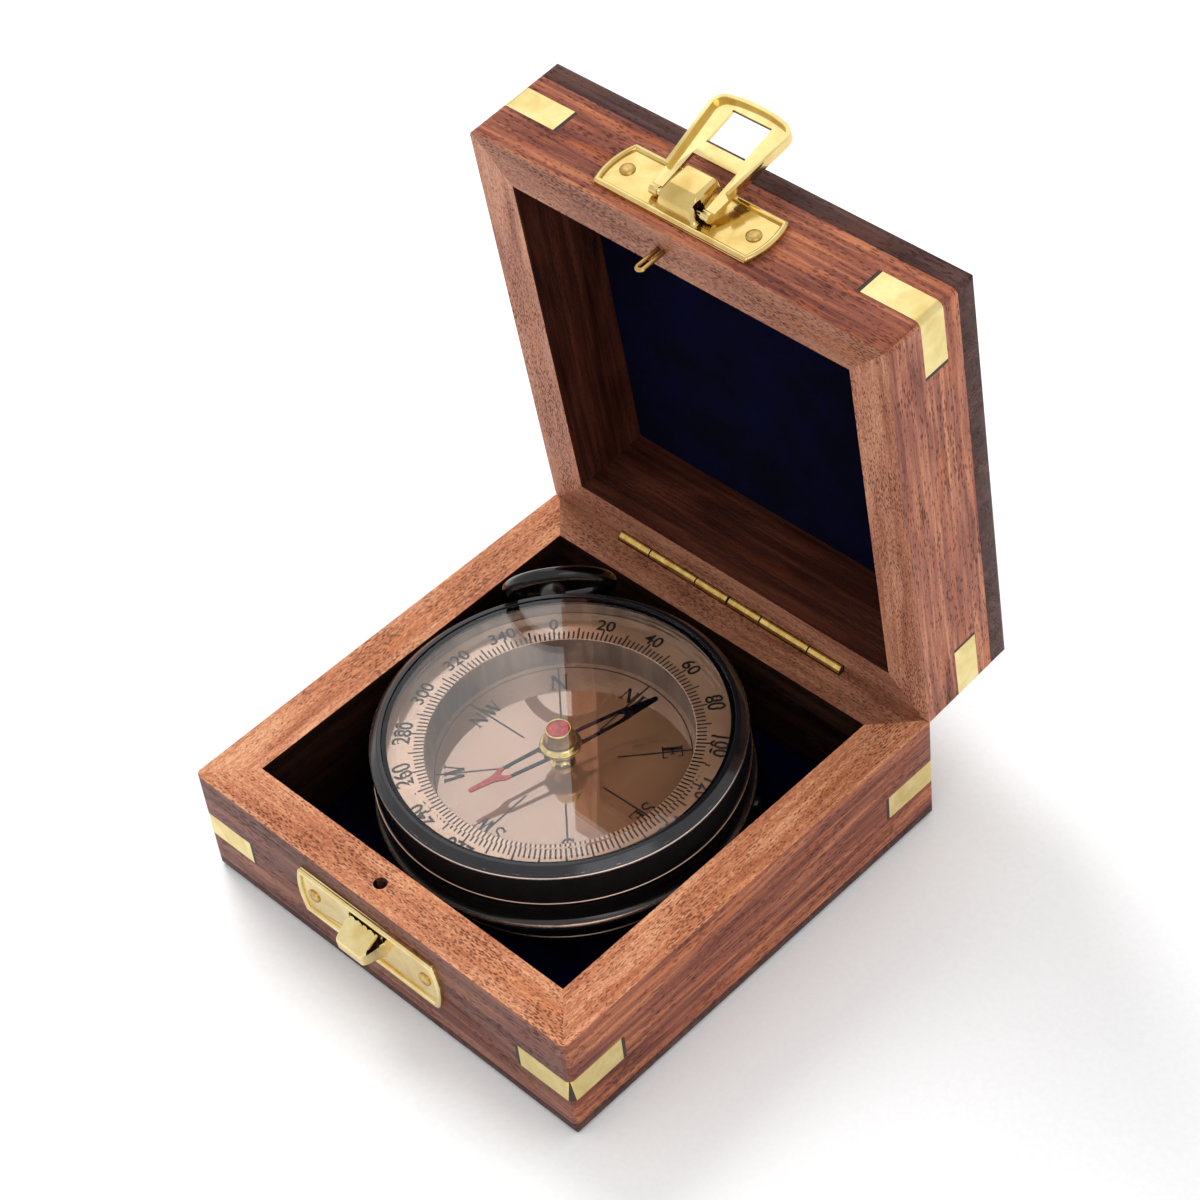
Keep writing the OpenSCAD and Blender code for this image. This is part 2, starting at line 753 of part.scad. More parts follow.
module hinge_pin(s) {
    color("darkgoldenrod") translate([hinge_x + s * hinge_mid, hinge_y, hinge_z])
        along_x(hinge_len, pin_d / 2);
}

module left_hinge_pin() { hinge_pin(-1); }
module right_hinge_pin() { hinge_pin(1); }
module base_hinge_nails() { hinge_nails(-1); }

// Lid, each piece drawn shut and then opened
module lid_front_wall() {
    color("peru") open_lid() difference() {
        plain_wall(lid_rim, lid_wall_z);
        inlay_rebates(box_h - inlay_drop);
        translate([latch_x, -half, latch_z]) nail_pair(fit);
        translate([loop_x, loop_y, lid_rim]) loop_form(fit);
    }
}

module lid_back_wall() {
    color("peru") open_lid() difference() {
        rotate([0, 0, 180]) plain_wall(lid_rim, lid_wall_z);
        inlay_rebates(box_h - inlay_drop);
        hinge_cuts(1);
        stop_bevel(1);
    }
}

module lid_left_wall() {
    color("sienna") open_lid() difference() {
        rotate([0, 0, -90]) plain_wall(lid_rim, lid_wall_z);
        inlay_rebates(box_h - inlay_drop);
        stop_bevel(1);
    }
}

module lid_right_wall() {
    color("sienna") open_lid() difference() {
        rotate([0, 0, 90]) plain_wall(lid_rim, lid_wall_z);
        inlay_rebates(box_h - inlay_drop);
        stop_bevel(1);
    }
}

module lid_top_panel() {
    color("saddlebrown") open_lid() panel(lid_wall_z, top_t, true);
}

module lid_lining() {
    side = cavity - 2 * card_gap;
    color("navy") open_lid() translate([-side / 2, -side / 2, lid_card_z]) cube([side, side, lid_card_t]);
}

module lid_inlay_front_left() { open_lid() inlay(box_h - inlay_drop, -1, -1); }
module lid_inlay_front_right() { open_lid() inlay(box_h - inlay_drop, 1, -1); }
module lid_inlay_back_left() { open_lid() inlay(box_h - inlay_drop, -1, 1); }
module lid_inlay_back_right() { open_lid() inlay(box_h - inlay_drop, 1, 1); }

module lid_locating_loop() {
    color("goldenrod") open_lid() translate([loop_x, loop_y, lid_rim]) loop_form(0);
}

module latch_plate() {
    color("gold") open_lid() {
        translate([latch_x, -half, latch_z]) difference() {
            union() {
                plate_outline(latch_h, sheet_t);
                rolled_border(latch_h);
            }
            nail_holes();
            translate([-gap_hw, -2, hump_z - latch_z - run_gap]) cube([2 * gap_hw, 3, hump_len - nose_t]);
        }
        translate([latch_x, -half, hump_z]) hump();
    }
}

module latch_nails() {
    color("goldenrod") open_lid() translate([latch_x, -half, latch_z]) nail_pair(0);
}

module left_hinge_lid_leaf() {
    open_lid() translate([hinge_x - hinge_mid, hinge_y, hinge_z]) leaf(1);
}

module right_hinge_lid_leaf() {
    open_lid() translate([hinge_x + hinge_mid, hinge_y, hinge_z]) leaf(1);
}

module lid_hinge_nails() { open_lid() hinge_nails(1); }

module hasp() {
    color("gold") open_lid() translate([latch_x, -half - pivot_out, pivot_z])
        rotate([hasp_lean, 0, 0]) hasp_form();
}

// Compass
module in_box() {
    translate([compass_x, compass_y, foot_z]) children();
}

module case_body() {
    foot_r = case_r - foot_in;
    chamfer = 0.3;
    cove_r = foot_r - 2 * chamfer;
    cove_z = foot_h + 0.2;
    cove_top = bead_z - bead_round - 0.1;
    bead_c = bead_r - bead_round;
    neck_z = bead_z + bead_round + 0.4;
    flare_z = shoulder_z - 1.6;
    inner_r = barrel_in_r - barrel_step;
    shelf_r = barrel_in_r - shelf_w;
    shelf_z = dial_z - dial_t;
    shelf_t = 1.2;
    collar_top = seat_z - seat_t - 0.1;
    color("dimgray") in_box() difference() {
        rotate_extrude($fn = 180) polygon(concat(
            [[0, 0], [foot_r - chamfer, 0], [foot_r, chamfer], [foot_r, foot_h]],
            [for (p = arc(0, 0, 1, 0, 84, 8))
                [cove_r + (bead_c - cove_r) * (1 - p[0]), cove_z + (cove_top - cove_z) * p[1]]],
            arc(bead_c, bead_z, bead_round, -72, 72, 10),
            [[case_r, neck_z], [case_r, flare_z], [case_r + shoulder_out, flare_z + 1.2],
                [case_r + shoulder_out, shoulder_z], [collar_r, shoulder_z], [collar_r, collar_top],
                [barrel_in_r, collar_top], [barrel_in_r, shelf_z], [shelf_r, shelf_z],
                [shelf_r, shelf_z - shelf_t], [inner_r, shelf_z - 1.5 * shelf_t], [inner_r, bead_z - 1],
                [foot_r - case_t, floor_t], [0, floor_t]]));
        pendant_shank(fit);
        stud_seat() cylinder(h = stud_hole, r = stud_shank_r + fit);
    }
}

module bezel_ring() {
    edge = 0.5;
    flat = 0.9;
    side_top = bezel_top - bezel_slope;
    color("slategray") in_box() difference() {
        rotate_extrude($fn = 180) polygon([
            [bezel_r, shoulder_z], [bezel_r, side_top], [bezel_r - edge, side_top + edge],
            [crystal_r + flat, bezel_top], [crystal_r + fit, bezel_top], [crystal_r + fit, seat_z],
            [crystal_r - seat_w, seat_z], [crystal_r - seat_w, seat_z - seat_t],
            [collar_r + fit, seat_z - seat_t], [collar_r + fit, shoulder_z]]);
        pendant_shank(fit);
    }
}

module crystal() {
    color("lightcyan", 0.4) in_box() rotate_extrude($fn = 180) polygon([
        [0, seat_z], [crystal_r, seat_z], [crystal_r, crystal_top - bevel_drop],
        [crystal_r - crystal_bevel, crystal_top], [0, crystal_top]]);
}

module chapter_ring() {
    top = dial_z + ring_rise;
    edge = barrel_in_r - fit;
    color("darksalmon") in_box() rotate_extrude($fn = 180) polygon([
        [well_r, dial_z], [well_r + ring_wall, dial_z], [well_r + ring_wall, top - ring_t],
        [edge, top - ring_t], [edge, top], [well_r, top]]);
}

module dial_plate() {
    color("tan") in_box() translate([0, 0, dial_z - dial_t]) difference() {
        cylinder(h = dial_t, r = barrel_in_r - fit, $fn = 180);
        translate([0, 0, -1]) cylinder(h = dial_t + 2, r = post_r + fit);
    }
}

module pivot_post() {
    foot_r = post_r + 1.1;
    foot_t = 0.6;
    point_r = 0.12;
    waist_r = 0.8;
    tip = cap_base + cup_z - 0.1;
    color("khaki") in_box() rotate_extrude() polygon([
        [0, dial_z - dial_t], [post_r, dial_z - dial_t], [post_r, dial_z], [foot_r, dial_z],
        [foot_r, dial_z + foot_t], [post_r, dial_z + 1.5 * foot_t], [post_r, needle_z - 1.4],
        [waist_r, needle_z - 0.4], [point_r, tip], [0, tip]]);
}

module needle_arm(len, slot_end) {
    slope = (needle_hw - needle_end_hw) / len;
    neck = cap_r + 0.5;
    blunt = 0.35;
    bridge = 0.8;
    rib = needle_bar / 3;
    difference() {
        polygon([[0, -needle_hw], [slot_end, slope * slot_end - needle_hw], [len, -blunt], [len, blunt],
            [slot_end, needle_hw - slope * slot_end], [0, needle_hw]]);
        for (s = [-1, 1]) polygon([
            [neck, s * rib], [neck, s * (needle_hw - slope * neck - needle_bar)],
            [slot_end - bridge, s * (needle_hw - slope * slot_end - needle_bar)],
            [slot_end - bridge, s * rib]]);
    }
}

module needle() {
    color("midnightblue") in_box() translate([0, 0, needle_z]) rotate([0, 0, needle_az]) difference() {
        linear_extrude(needle_t) union() {
            needle_arm(tip_len, tip_len * tip_slot);
            rotate([0, 0, 180]) needle_arm(tail_len, tail_len * tail_slot);
            circle(cap_r - 0.3);
        }
        translate([0, 0, -1]) cylinder(h = 3, r = spigot_r + fit);
    }
}

module needle_cap() {
    edge = 0.3;
    flange_top = cap_base + cap_flange_t;
    cup_r = 1;
    top = cap_base + cap_h;
    color("gold") in_box() rotate_extrude() polygon([
        [cup_r, cap_base - spigot_len], [spigot_r, cap_base - spigot_len], [spigot_r, cap_base],
        [cap_r, cap_base], [cap_r, flange_top - edge], [cap_r - edge, flange_top],
        [cap_body_r + edge, flange_top + edge], [cap_body_r, flange_top + 3 * edge],
        [cap_body_r, top - edge], [cap_body_r - edge, top], [jewel_r + fit, top],
        [jewel_r + fit, top - jewel_t], [0, top - jewel_t], [0, cap_base + cup_z],
        [edge, cap_base + cup_z]]);
}

module cap_jewel() {
    color("red") in_box() translate([0, 0, cap_base + cap_h - jewel_t]) cylinder(h = jewel_t, r = jewel_r);
}

// Level and direction of the pendant, z outwards from the compass axis
module at_pendant(u) {
    rotate([0, 0, north_az]) translate([u, 0, bow_z]) rotate([0, 90, 0]) children();
}

// Shank through bezel and collar, or the hole for it
module pendant_shank(grow) {
    at_pendant(barrel_in_r - grow) cylinder(h = pendant_in - barrel_in_r + 2 * grow, r = shank_r + grow);
}

module pendant() {
    neck_z = bow_u - knob_half;
    color("dimgray") in_box() {
        pendant_shank(0);
        difference() {
            at_pendant(0) rotate_extrude() polygon(concat(
                [[0, pendant_in], [pendant_base_r, pendant_in], [pendant_base_r, pendant_in + pendant_base_t],
                    [neck_r, neck_z]],
                [for (p = arc(0, 0, 1, -50, 90, 12)) [knob_r * p[0], bow_u + knob_half * p[1]]]));
            rotate([0, 0, north_az]) translate([bow_u, 0, bow_z]) rotate([90, 0, 0])
                cylinder(h = 4 * knob_r, r = bow_rod / 2 + bow_play, center = true);
        }
    }
}

// Bottom of the stud's hole, z outwards
stud_hole = 3;
module stud_seat() {
    rotate([0, 0, stud_az]) translate([case_r - foot_in, 0, stud_z]) rotate([0, 90, 0]) children();
}

module side_stud() {
    head_start = foot_in / 2;
    head_len = foot_in + stud_out - head_start;
    dome = 0.8;
    color("dimgray") in_box() stud_seat() rotate_extrude() polygon(concat(
        [[0, 0], [stud_shank_r, 0], [stud_shank_r, head_start], [stud_r, head_start]],
        [for (p = arc(0, 0, 1, 0, 90, 6)) [stud_r * p[0], head_start + head_len - dome + dome * p[1]]]));
}

module bow_ring() {
    color("dimgray") in_box() rotate([0, 0, north_az]) translate([bow_u, 0, bow_z])
        rotate([0, -bow_lean, 0]) rotate([bow_slew, 0, 0]) translate([0, 0, bow_r]) rotate([0, 90, 0])
            rotate_extrude($fn = 96) translate([bow_r, 0]) circle(bow_rod / 2, $fn = 48);
}

base_front_wall();
base_back_wall();
base_left_wall();
base_right_wall();
base_bottom_panel();
base_lining();
base_inlay_front_left();
base_inlay_front_right();
base_inlay_back_left();
base_inlay_back_right();
catch_plate();
catch_nails();
left_hinge_base_leaf();
right_hinge_base_leaf();
left_hinge_pin();
right_hinge_pin();
base_hinge_nails();
lid_front_wall();
lid_back_wall();
lid_left_wall();
lid_right_wall();
lid_top_panel();
lid_lining();
lid_inlay_front_left();
lid_inlay_front_right();
lid_inlay_back_left();
lid_inlay_back_right();
lid_locating_loop();
latch_plate();
latch_nails();
left_hinge_lid_leaf();
right_hinge_lid_leaf();
lid_hinge_nails();
hasp();
case_body();
bezel_ring();
crystal();
chapter_ring();
dial_plate();
pivot_post();
pendant();
side_stud();
needle();
needle_cap();
cap_jewel();
bow_ring();
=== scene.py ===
import json
import math
import bmesh
import bpy
from mathutils import Matrix, Vector


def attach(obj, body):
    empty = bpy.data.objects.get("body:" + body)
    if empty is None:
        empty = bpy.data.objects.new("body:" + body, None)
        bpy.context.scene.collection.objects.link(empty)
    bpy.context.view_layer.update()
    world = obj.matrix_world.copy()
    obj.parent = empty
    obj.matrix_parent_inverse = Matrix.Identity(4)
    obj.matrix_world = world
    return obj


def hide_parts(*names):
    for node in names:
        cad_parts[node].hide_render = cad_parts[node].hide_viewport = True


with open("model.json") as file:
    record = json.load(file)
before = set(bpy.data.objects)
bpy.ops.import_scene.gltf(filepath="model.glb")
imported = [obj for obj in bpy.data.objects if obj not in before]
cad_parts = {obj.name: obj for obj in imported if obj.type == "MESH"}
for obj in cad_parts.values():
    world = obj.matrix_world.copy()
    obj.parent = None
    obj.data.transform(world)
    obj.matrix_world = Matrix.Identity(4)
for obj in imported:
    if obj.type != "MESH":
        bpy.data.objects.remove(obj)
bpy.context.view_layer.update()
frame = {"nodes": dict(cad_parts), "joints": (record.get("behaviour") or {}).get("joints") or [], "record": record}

# Walls of the lower box and of the lid
# Eight strips of one open-pored red-brown hardwood, mitred and glued at the corners. The lid was sawn
# off the finished box, so the figure runs on from one half to the other. They are sanded and oiled to
# a thin satin shine, with open pores. The sawn rims are lighter than the sides, but for the back one of
# the lower box, which is painted darker as the shadow of the open lid. The inside faces are painted
# darker still, as painted shade inside the box.
MM = 0.001
HALVES = (("base", False), ("lid", True))
BODY_OF = {n: body for body, nodes in frame["record"]["behaviour"]["bodies"].items() for n in nodes}
LID_JOINT = next(joint for joint in frame["joints"] if joint["name"] == "lid_hinge")
HINGE = Vector(LID_JOINT["pos_m"])
OPEN_ANGLE = math.radians(LID_JOINT["range_deg"][1])
SHUT_LID = Matrix.Translation(HINGE) @ Matrix.Rotation(OPEN_ANGLE, 4, "X") @ Matrix.Translation(-HINGE)
JOIN_REACH = 0.002 * MM
FLAT_WITHIN = math.radians(0.4)
HAIR = 0.01 * MM
EASED_EDGE = 0.22 * MM
MITRE_SHARE = 0.25
SHORT_EDGE = 3 * MM
END_SHIFT = 40
RED_BROWN = ((92, 46, 38), (142, 82, 62), (194, 122, 82))
FRESH_SAWN = ((152, 88, 60), (190, 122, 88), (222, 164, 124))
# Tones of the boards that run along the front and back, and of those across the ends, of each half
SIDE_TONES = {
    "base": (((78, 48, 44), (120, 78, 68), (158, 106, 84)), RED_BROWN),
    "lid": (RED_BROWN, ((104, 54, 44), (158, 96, 76), (206, 138, 102))),
}
RIM_TONES = {
    "base": (FRESH_SAWN, FRESH_SAWN),
    "lid": (((118, 70, 54), (156, 104, 82), (188, 134, 106)),
            ((136, 82, 64), (178, 120, 96), (208, 152, 122))),
}
# The lower box's back rim is painted darker, as the shadow that the open lid casts on it
LID_SHADOW_RIM_TONES = ((108, 66, 50), (142, 94, 72), (172, 120, 94))
# The walls' inner faces are painted much darker than their outer sides, as painted shade inside the box, deepest
# in the lower box
INSIDE_SHADE_TONES = {
    "base": ((20, 12, 9), (38, 24, 18), (58, 38, 28)),
    "lid": ((42, 21, 16), (70, 37, 28), (98, 55, 41)),
}
PORE_BROWN = (58, 30, 26)


def tint(red, green, blue):
    """A colour as a paint chart gives it, 0 to 255, turned into the light it throws back."""
    return (*[(c / 255) ** 2.2 for c in (red, green, blue)], 1)


def lay(tree, kind, feeds=(), **settings):
    """One layer of a finish: what kind it is, what feeds it and how it is set."""
    layer = tree.nodes.new("ShaderNode" + kind)
    for name, value in settings.items():
        setattr(layer, name, value)
    for socket, feed in dict(feeds).items():
        if isinstance(feed, bpy.types.NodeSocket):
            tree.links.new(feed, layer.inputs[socket])
        else:
            layer.inputs[socket].default_value = feed
    return layer


def mixed(tree, share, under, over):
    return lay(tree, "Mix", {0: share, 6: under, 7: over}, data_type="RGBA").outputs[2]


def sum_of(tree, first, second, how="ADD"):
    return lay(tree, "Math", {0: first, 1: second}, operation=how).outputs[0]


def between(tree, value, low, high, to_low=0.0, to_high=1.0):
    return lay(tree, "MapRange", {0: value, 1: low, 2: high, 3: to_low, 4: to_high}).outputs[0]


def toned(tree, share, *stops):
    """Colours run into each other along a range, each stop a place and a colour."""
    band = lay(tree, "ValToRGB", {0: share})
    (start, first), *others, (end, last) = stops
    band.color_ramp.elements[0].position = start
    band.color_ramp.elements[0].color = first
    band.color_ramp.elements[1].position = end
    band.color_ramp.elements[1].color = last
    for place, colour in others:
        band.color_ramp.elements.new(place).color = colour
    return band.outputs[0]


def new_finish(name):
    finish = bpy.data.materials.new(name)
    finish.use_nodes = True
    return finish, finish.node_tree, finish.node_tree.nodes["Principled BSDF"]


def in_millimetres(tree, on_lid=False):
    """Places on the object in millimetres, as they lie with the lid shut."""
    places = lay(tree, "TexCoord").outputs["Object"]
    shut = lay(tree, "Mapping", {0: places})
    shut.inputs["Scale"].default_value = (1 / MM,) * 3
    if on_lid:
        shut.inputs["Rotation"].default_value = (OPEN_ANGLE, 0, 0)
        shut.inputs["Location"].default_value = SHUT_LID.translation / MM
    return shut.outputs[0]


def stretched(tree, places, scale, turn=0.0, shift=(0, 0, 0)):
    layer = lay(tree, "Mapping", {0: places})
    layer.inputs["Scale"].default_value = scale
    layer.inputs["Rotation"].default_value = (0, 0, turn)
    layer.inputs["Location"].default_value = shift
    return layer.outputs[0]


def grain(tree, places, fine, rough=0.55, warp=0.0, detail=4.0):
    return lay(tree, "TexNoise", {"Vector": places, "Scale": fine, "Detail": detail, "Roughness": rough,
                                  "Distortion": warp}).outputs[0]


def give_relief(tree, skin, height, strength, depth):
    """Lets a layer raise and sink the surface, to a depth in millimetres."""
    bump = lay(tree, "Bump", {"Height": height, "Strength": strength, "Distance": depth * MM})
    tree.links.new(bump.outputs[0], skin.inputs["Normal"])


def hardwood(name, tones, across, on_lid, sawn, shift):
    """Oiled open-pored hardwood with its fibres along X, or along Y where across is set."""
    finish, tree, skin = new_finish(name)
    dark, middle, light = [tint(*tone) for tone in tones]
    turn = math.pi / 2 if across else 0
    along = stretched(tree, in_millimetres(tree, on_lid), (1, 1, 1), turn, (shift, 0, 0))
    figure = grain(tree, stretched(tree, along, (0.018, 0.11, 0.11)), 1, warp=1.6, detail=3)
    streaks = grain(tree, stretched(tree, along, (0.02, 0.62, 0.62)), 1, rough=0.62, warp=0.5)
    fibres = grain(tree, stretched(tree, along, (0.12, 4.2, 4.2)), 1, rough=0.7)
    mottle = grain(tree, stretched(tree, along, (0.8, 2.4, 2.4)), 1, rough=0.75)
    shares = (0.26, 0.2, 0.16, 0.38) if sawn else (0.3, 0.42, 0.22, 0.06)
    layers = zip((figure, streaks, fibres, mottle), shares)
    parts = [sum_of(tree, layer, share, "MULTIPLY") for layer, share in layers]
    body = sum_of(tree, sum_of(tree, parts[0], parts[1]), sum_of(tree, parts[2], parts[3]))
    spread = 0.085 if sawn else 0.1
    colour = toned(tree, body, (0.5 - spread, dark), (0.5, middle), (0.5 + spread, light))
    flare = between(tree, grain(tree, stretched(tree, along, (0.03, 0.3, 0.3)), 1, warp=0.8), 0.56, 0.7)
    ember = tint(tones[2][0] * 1.02, tones[2][1] * 0.86, tones[2][2] * 0.66)
    colour = mixed(tree, sum_of(tree, flare, 0.24 if sawn else 0.42, "MULTIPLY"), colour, ember)
    veins = between(tree, grain(tree, stretched(tree, along, (0.022, 1.5, 1.5)), 1, rough=0.45), 0.55, 0.66)
    colour = mixed(tree, sum_of(tree, veins, 0.1 if sawn else 0.42, "MULTIPLY"), colour, dark)
    run = (0.85, 2.9, 2.9) if sawn else (0.5, 2.1, 2.1)
    cells = lay(tree, "TexVoronoi", {"Vector": stretched(tree, along, run), "Scale": 1})
    cluster = grain(tree, stretched(tree, along, (0.07, 0.14, 0.14)), 1)
    size = between(tree, cluster, 0.34, 0.6, 0.14, 0.42)
    pores = between(tree, sum_of(tree, cells.outputs["Distance"], size, "SUBTRACT"), -0.12, 0.05, 1, 0)
    small = lay(tree, "TexVoronoi", {"Vector": stretched(tree, along, (1.3, 4.4, 4.4)), "Scale": 1})
    flecks = between(tree, small.outputs["Distance"], 0.16, 0.34, 1, 0)
    colour = mixed(tree, sum_of(tree, flecks, 0.5, "MULTIPLY"), colour, tint(*[c * 0.92 for c in tones[0]]))
    colour = mixed(tree, sum_of(tree, pores, 0.72 if sawn else 0.6, "MULTIPLY"), colour, tint(*PORE_BROWN))
    depth = sum_of(tree, sum_of(tree, fibres, 0.35, "MULTIPLY"), pores, "SUBTRACT")
    give_relief(tree, skin, depth, 0.5, 0.1)
    tree.links.new(colour, skin.inputs["Base Color"])
    tree.links.new(between(tree, pores, 0, 1, 0.46, 0.8), skin.inputs["Roughness"])
    skin.inputs["Specular IOR Level"].default_value = 0.2
    return finish


def taken_up(node):
    """A copy of a piece of the frame with its loose triangles joined into whole faces."""
    form = bmesh.new()
    form.from_mesh(frame["nodes"][node].data)
    bmesh.ops.remove_doubles(form, verts=form.verts, dist=JOIN_REACH)
    bmesh.ops.dissolve_limit(form, angle_limit=FLAT_WITHIN, verts=form.verts, edges=form.edges)
    bmesh.ops.recalc_face_normals(form, faces=form.faces)
    return form


def set_in_place(form, name, node, finishes, crease=32, instead=True):
    """Puts a finished form beside a piece of the frame, or in its place where instead is set."""
    mesh = bpy.data.meshes.new(name)
    form.to_mesh(mesh)
    form.free()
    mesh.shade_smooth()
    mesh.set_sharp_from_angle(angle=math.radians(crease))
    for finish in finishes:
        mesh.materials.append(finish)
    piece = bpy.data.objects.new(name, mesh)
    bpy.context.scene.collection.objects.link(piece)
    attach(piece, BODY_OF[node])
    if instead:
        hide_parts(node)
    return piece


def ease(form, is_soft, width, steps=2):
    """Takes the sharpness off the edges that is_soft picks."""
    edges = [e for e in form.edges if len(e.link_faces) == 2 and is_soft(e)]
    bmesh.ops.bevel(form, geom=edges, offset=width, offset_type="OFFSET", segments=steps, profile=0.5,
                    affect="EDGES", clamp_overlap=True, material=-1)


def sharp_outside(edge, least=30):
    return edge.calc_face_angle_signed() > math.radians(least)


def to_shut(on_lid):
    """The move that brings a half of the box to where it lies with the lid shut."""
    return SHUT_LID if on_lid else Matrix.Identity(4)


def wear_the_edges(form, on_lid):
    """Marks how far each edge of a wall is eased: fully outside, hardly at all along the mitres."""
    weight = form.edges.layers.float.new("bevel_weight_edge")
    shut = to_shut(on_lid)
    levels = [(shut @ v.co).z for v in form.verts]
    low, high = min(levels), max(levels)
    for edge in form.edges:
        if len(edge.link_faces) != 2 or not sharp_outside(edge):
            continue
        ends = [(shut @ v.co).z for v in edge.verts]
        on_rim = max(ends) - low < HAIR or high - min(ends) < HAIR
        turned = [shut.to_3x3() @ face.normal for face in edge.link_faces]
        at_mitre = any(min(abs(n.x), abs(n.y)) > 0.6 for n in turned)
        if at_mitre:
            edge[weight] = MITRE_SHARE
        elif edge.calc_length() > SHORT_EDGE or on_rim:
            edge[weight] = 1


def face_tones(form, on_lid):
    """Sorts a wall's faces: 0 for the outer side, 1 for the sawn rims, 2 for the inside."""
    shut = to_shut(on_lid)
    for face in form.faces:
        normal = shut.to_3x3() @ face.normal
        middle = shut @ face.calc_center_median()
        outwards = normal.x * middle.x + normal.y * middle.y
        face.material_index = 1 if abs(normal.z) > 0.7 else 0 if outwards > 0 else 2


for half, on_lid in HALVES:
    for across in (False, True):
        name = f"{half}_wood_{'across' if across else 'along'}"
        shift = END_SHIFT if across else 0
        woods = [hardwood(name, SIDE_TONES[half][across], across, on_lid, False, shift),
                 hardwood(name + "_rim", RIM_TONES[half][across], across, on_lid, True, shift),
                 hardwood(name + "_inside_painted_shade", INSIDE_SHADE_TONES[half], across, on_lid, False, shift)]
        for side in ("left", "right") if across else ("front", "back"):
            node = f"{half}_{side}_wall"
            form = taken_up(node)
            wear_the_edges(form, on_lid)
            face_tones(form, on_lid)
            # The back rim of the lower box gets the darker tones, painted as the open lid's shadow
            if node == "base_back_wall":
                woods[1] = hardwood("base_back_rim_painted_shadow", LID_SHADOW_RIM_TONES, across, on_lid, True, shift)
            wall = set_in_place(form, node + "_board", node, woods)
            easing = wall.modifiers.new("eased_edges", "BEVEL")
            easing.limit_method = "WEIGHT"
            easing.width = EASED_EDGE
            easing.segments = 2
            easing.harden_normals = True

# Bottom panel and top panel
# Two darker boards of purple-brown hardwood, glued over the walls. Their outer edges are rounded over
# with a plane and rubbed smooth, and their end grain drinks more oil than their faces.
PANEL_TONES = ((51, 31, 30), (75, 50, 46), (97, 67, 61))
PANEL_SHIFT = 90
for node, on_lid in (("base_bottom_panel", False), ("lid_top_panel", True)):
    wood = hardwood(node + "_wood", PANEL_TONES, False, on_lid, False, PANEL_SHIFT)
    form = taken_up(node)
    ease(form, lambda e: sharp_outside(e, 60), 0.2 * MM)
    set_in_place(form, node + "_board", node, [wood])

# Linings
# Two cards covered with navy velvet, cut a little smaller than the box and pressed in, one on the
# floor under the compass and one inside the top. The pile lies in soft patches, lighter where rubbed.
NAP_DARK = (3, 3, 14)
NAP_LIGHT = (9, 8, 40)
SHEEN_BLUE = (90, 100, 160)


def velvet(name, on_lid):
    finish, tree, skin = new_finish(name)
    places = in_millimetres(tree, on_lid)
    patches = grain(tree, stretched(tree, places, (0.08, 0.08, 0.08)), 1, detail=3)
    pile = grain(tree, places, 5.5, rough=0.8)
    nap = sum_of(tree, sum_of(tree, patches, 0.6, "MULTIPLY"), sum_of(tree, pile, 0.4, "MULTIPLY"))
    tree.links.new(toned(tree, nap, (0.4, tint(*NAP_DARK)), (0.62, tint(*NAP_LIGHT))),
                   skin.inputs["Base Color"])
    give_relief(tree, skin, pile, 0.7, 0.15)
    skin.inputs["Roughness"].default_value = 0.95
    skin.inputs["Specular IOR Level"].default_value = 0.05
    skin.inputs["Sheen Weight"].default_value = 0.08
    skin.inputs["Sheen Roughness"].default_value = 0.4
    skin.inputs["Sheen Tint"].default_value = tint(*SHEEN_BLUE)
    return finish


for node, on_lid in (("base_lining", False), ("lid_lining", True)):
    form = taken_up(node)
    ease(form, sharp_outside, 0.5 * MM, 3)
    set_in_place(form, node + "_velvet", node, [velvet(node + "_nap", on_lid)])

# Corner inlays
# Eight strips of light yellow brass folded round the upright corners, let into rebates flush with the
# wood and polished with it. The rebates run a little past the strips, and dark resin fills the gaps.
# The strip at the front corner of the lower box has opened along its fold, and resin fills that too.
INLAY_LEG = 14 * MM
FILLER_RUN = 0.8 * MM
SPLIT_INLAY = "base_inlay_front_right"
SPLIT_TOP = 0.12 * MM
SPLIT_SPREAD = 0.11
BOX_HALF = 50 * MM
CUT_REACH = 1e-7
PALE_BRASS = (234, 218, 158)
DEEP_BRASS = (218, 194, 124)


def polished_brass(name, bright, deep, rough, on_lid=False, cloud=0.1, rub=(0.5, 11, 11), dirt=0.12):
    """Rubbed brass: hardly clouded, with fine scratches that scatter its shine."""
    finish, tree, skin = new_finish(name)
    places = in_millimetres(tree, on_lid)
    clouds = grain(tree, places, cloud, rough=0.5, warp=0.4)
    scratches = grain(tree, stretched(tree, places, rub), 1, rough=0.75)
    specks = between(tree, grain(tree, places, 2.6, rough=0.7), 0.6, 0.74)
    colour = toned(tree, clouds, (0.3, tint(*deep)), (0.7, tint(*bright)))
    colour = mixed(tree, sum_of(tree, specks, dirt, "MULTIPLY"), colour, tint(*[c * 0.55 for c in deep]))
    tree.links.new(colour, skin.inputs["Base Color"])
    shine = sum_of(tree, between(tree, clouds, 0.3, 0.7, rough + 0.04, rough - 0.02),
                   between(tree, scratches, 0.3, 0.7, -0.02, 0.04))
    tree.links.new(shine, skin.inputs["Roughness"])
    give_relief(tree, skin, scratches, 0.12, 0.01)
    skin.inputs["Metallic"].default_value = 1
    return finish


def dark_resin():
    finish, tree, skin = new_finish("dark_resin")
    dust = grain(tree, in_millimetres(tree), 4.0, rough=0.8)
    tree.links.new(toned(tree, dust, (0.4, tint(34, 20, 14)), (0.65, tint(70, 46, 32))),
                   skin.inputs["Base Color"])
    give_relief(tree, skin, dust, 0.6, 0.08)
    skin.inputs["Roughness"].default_value = 0.6
    return finish


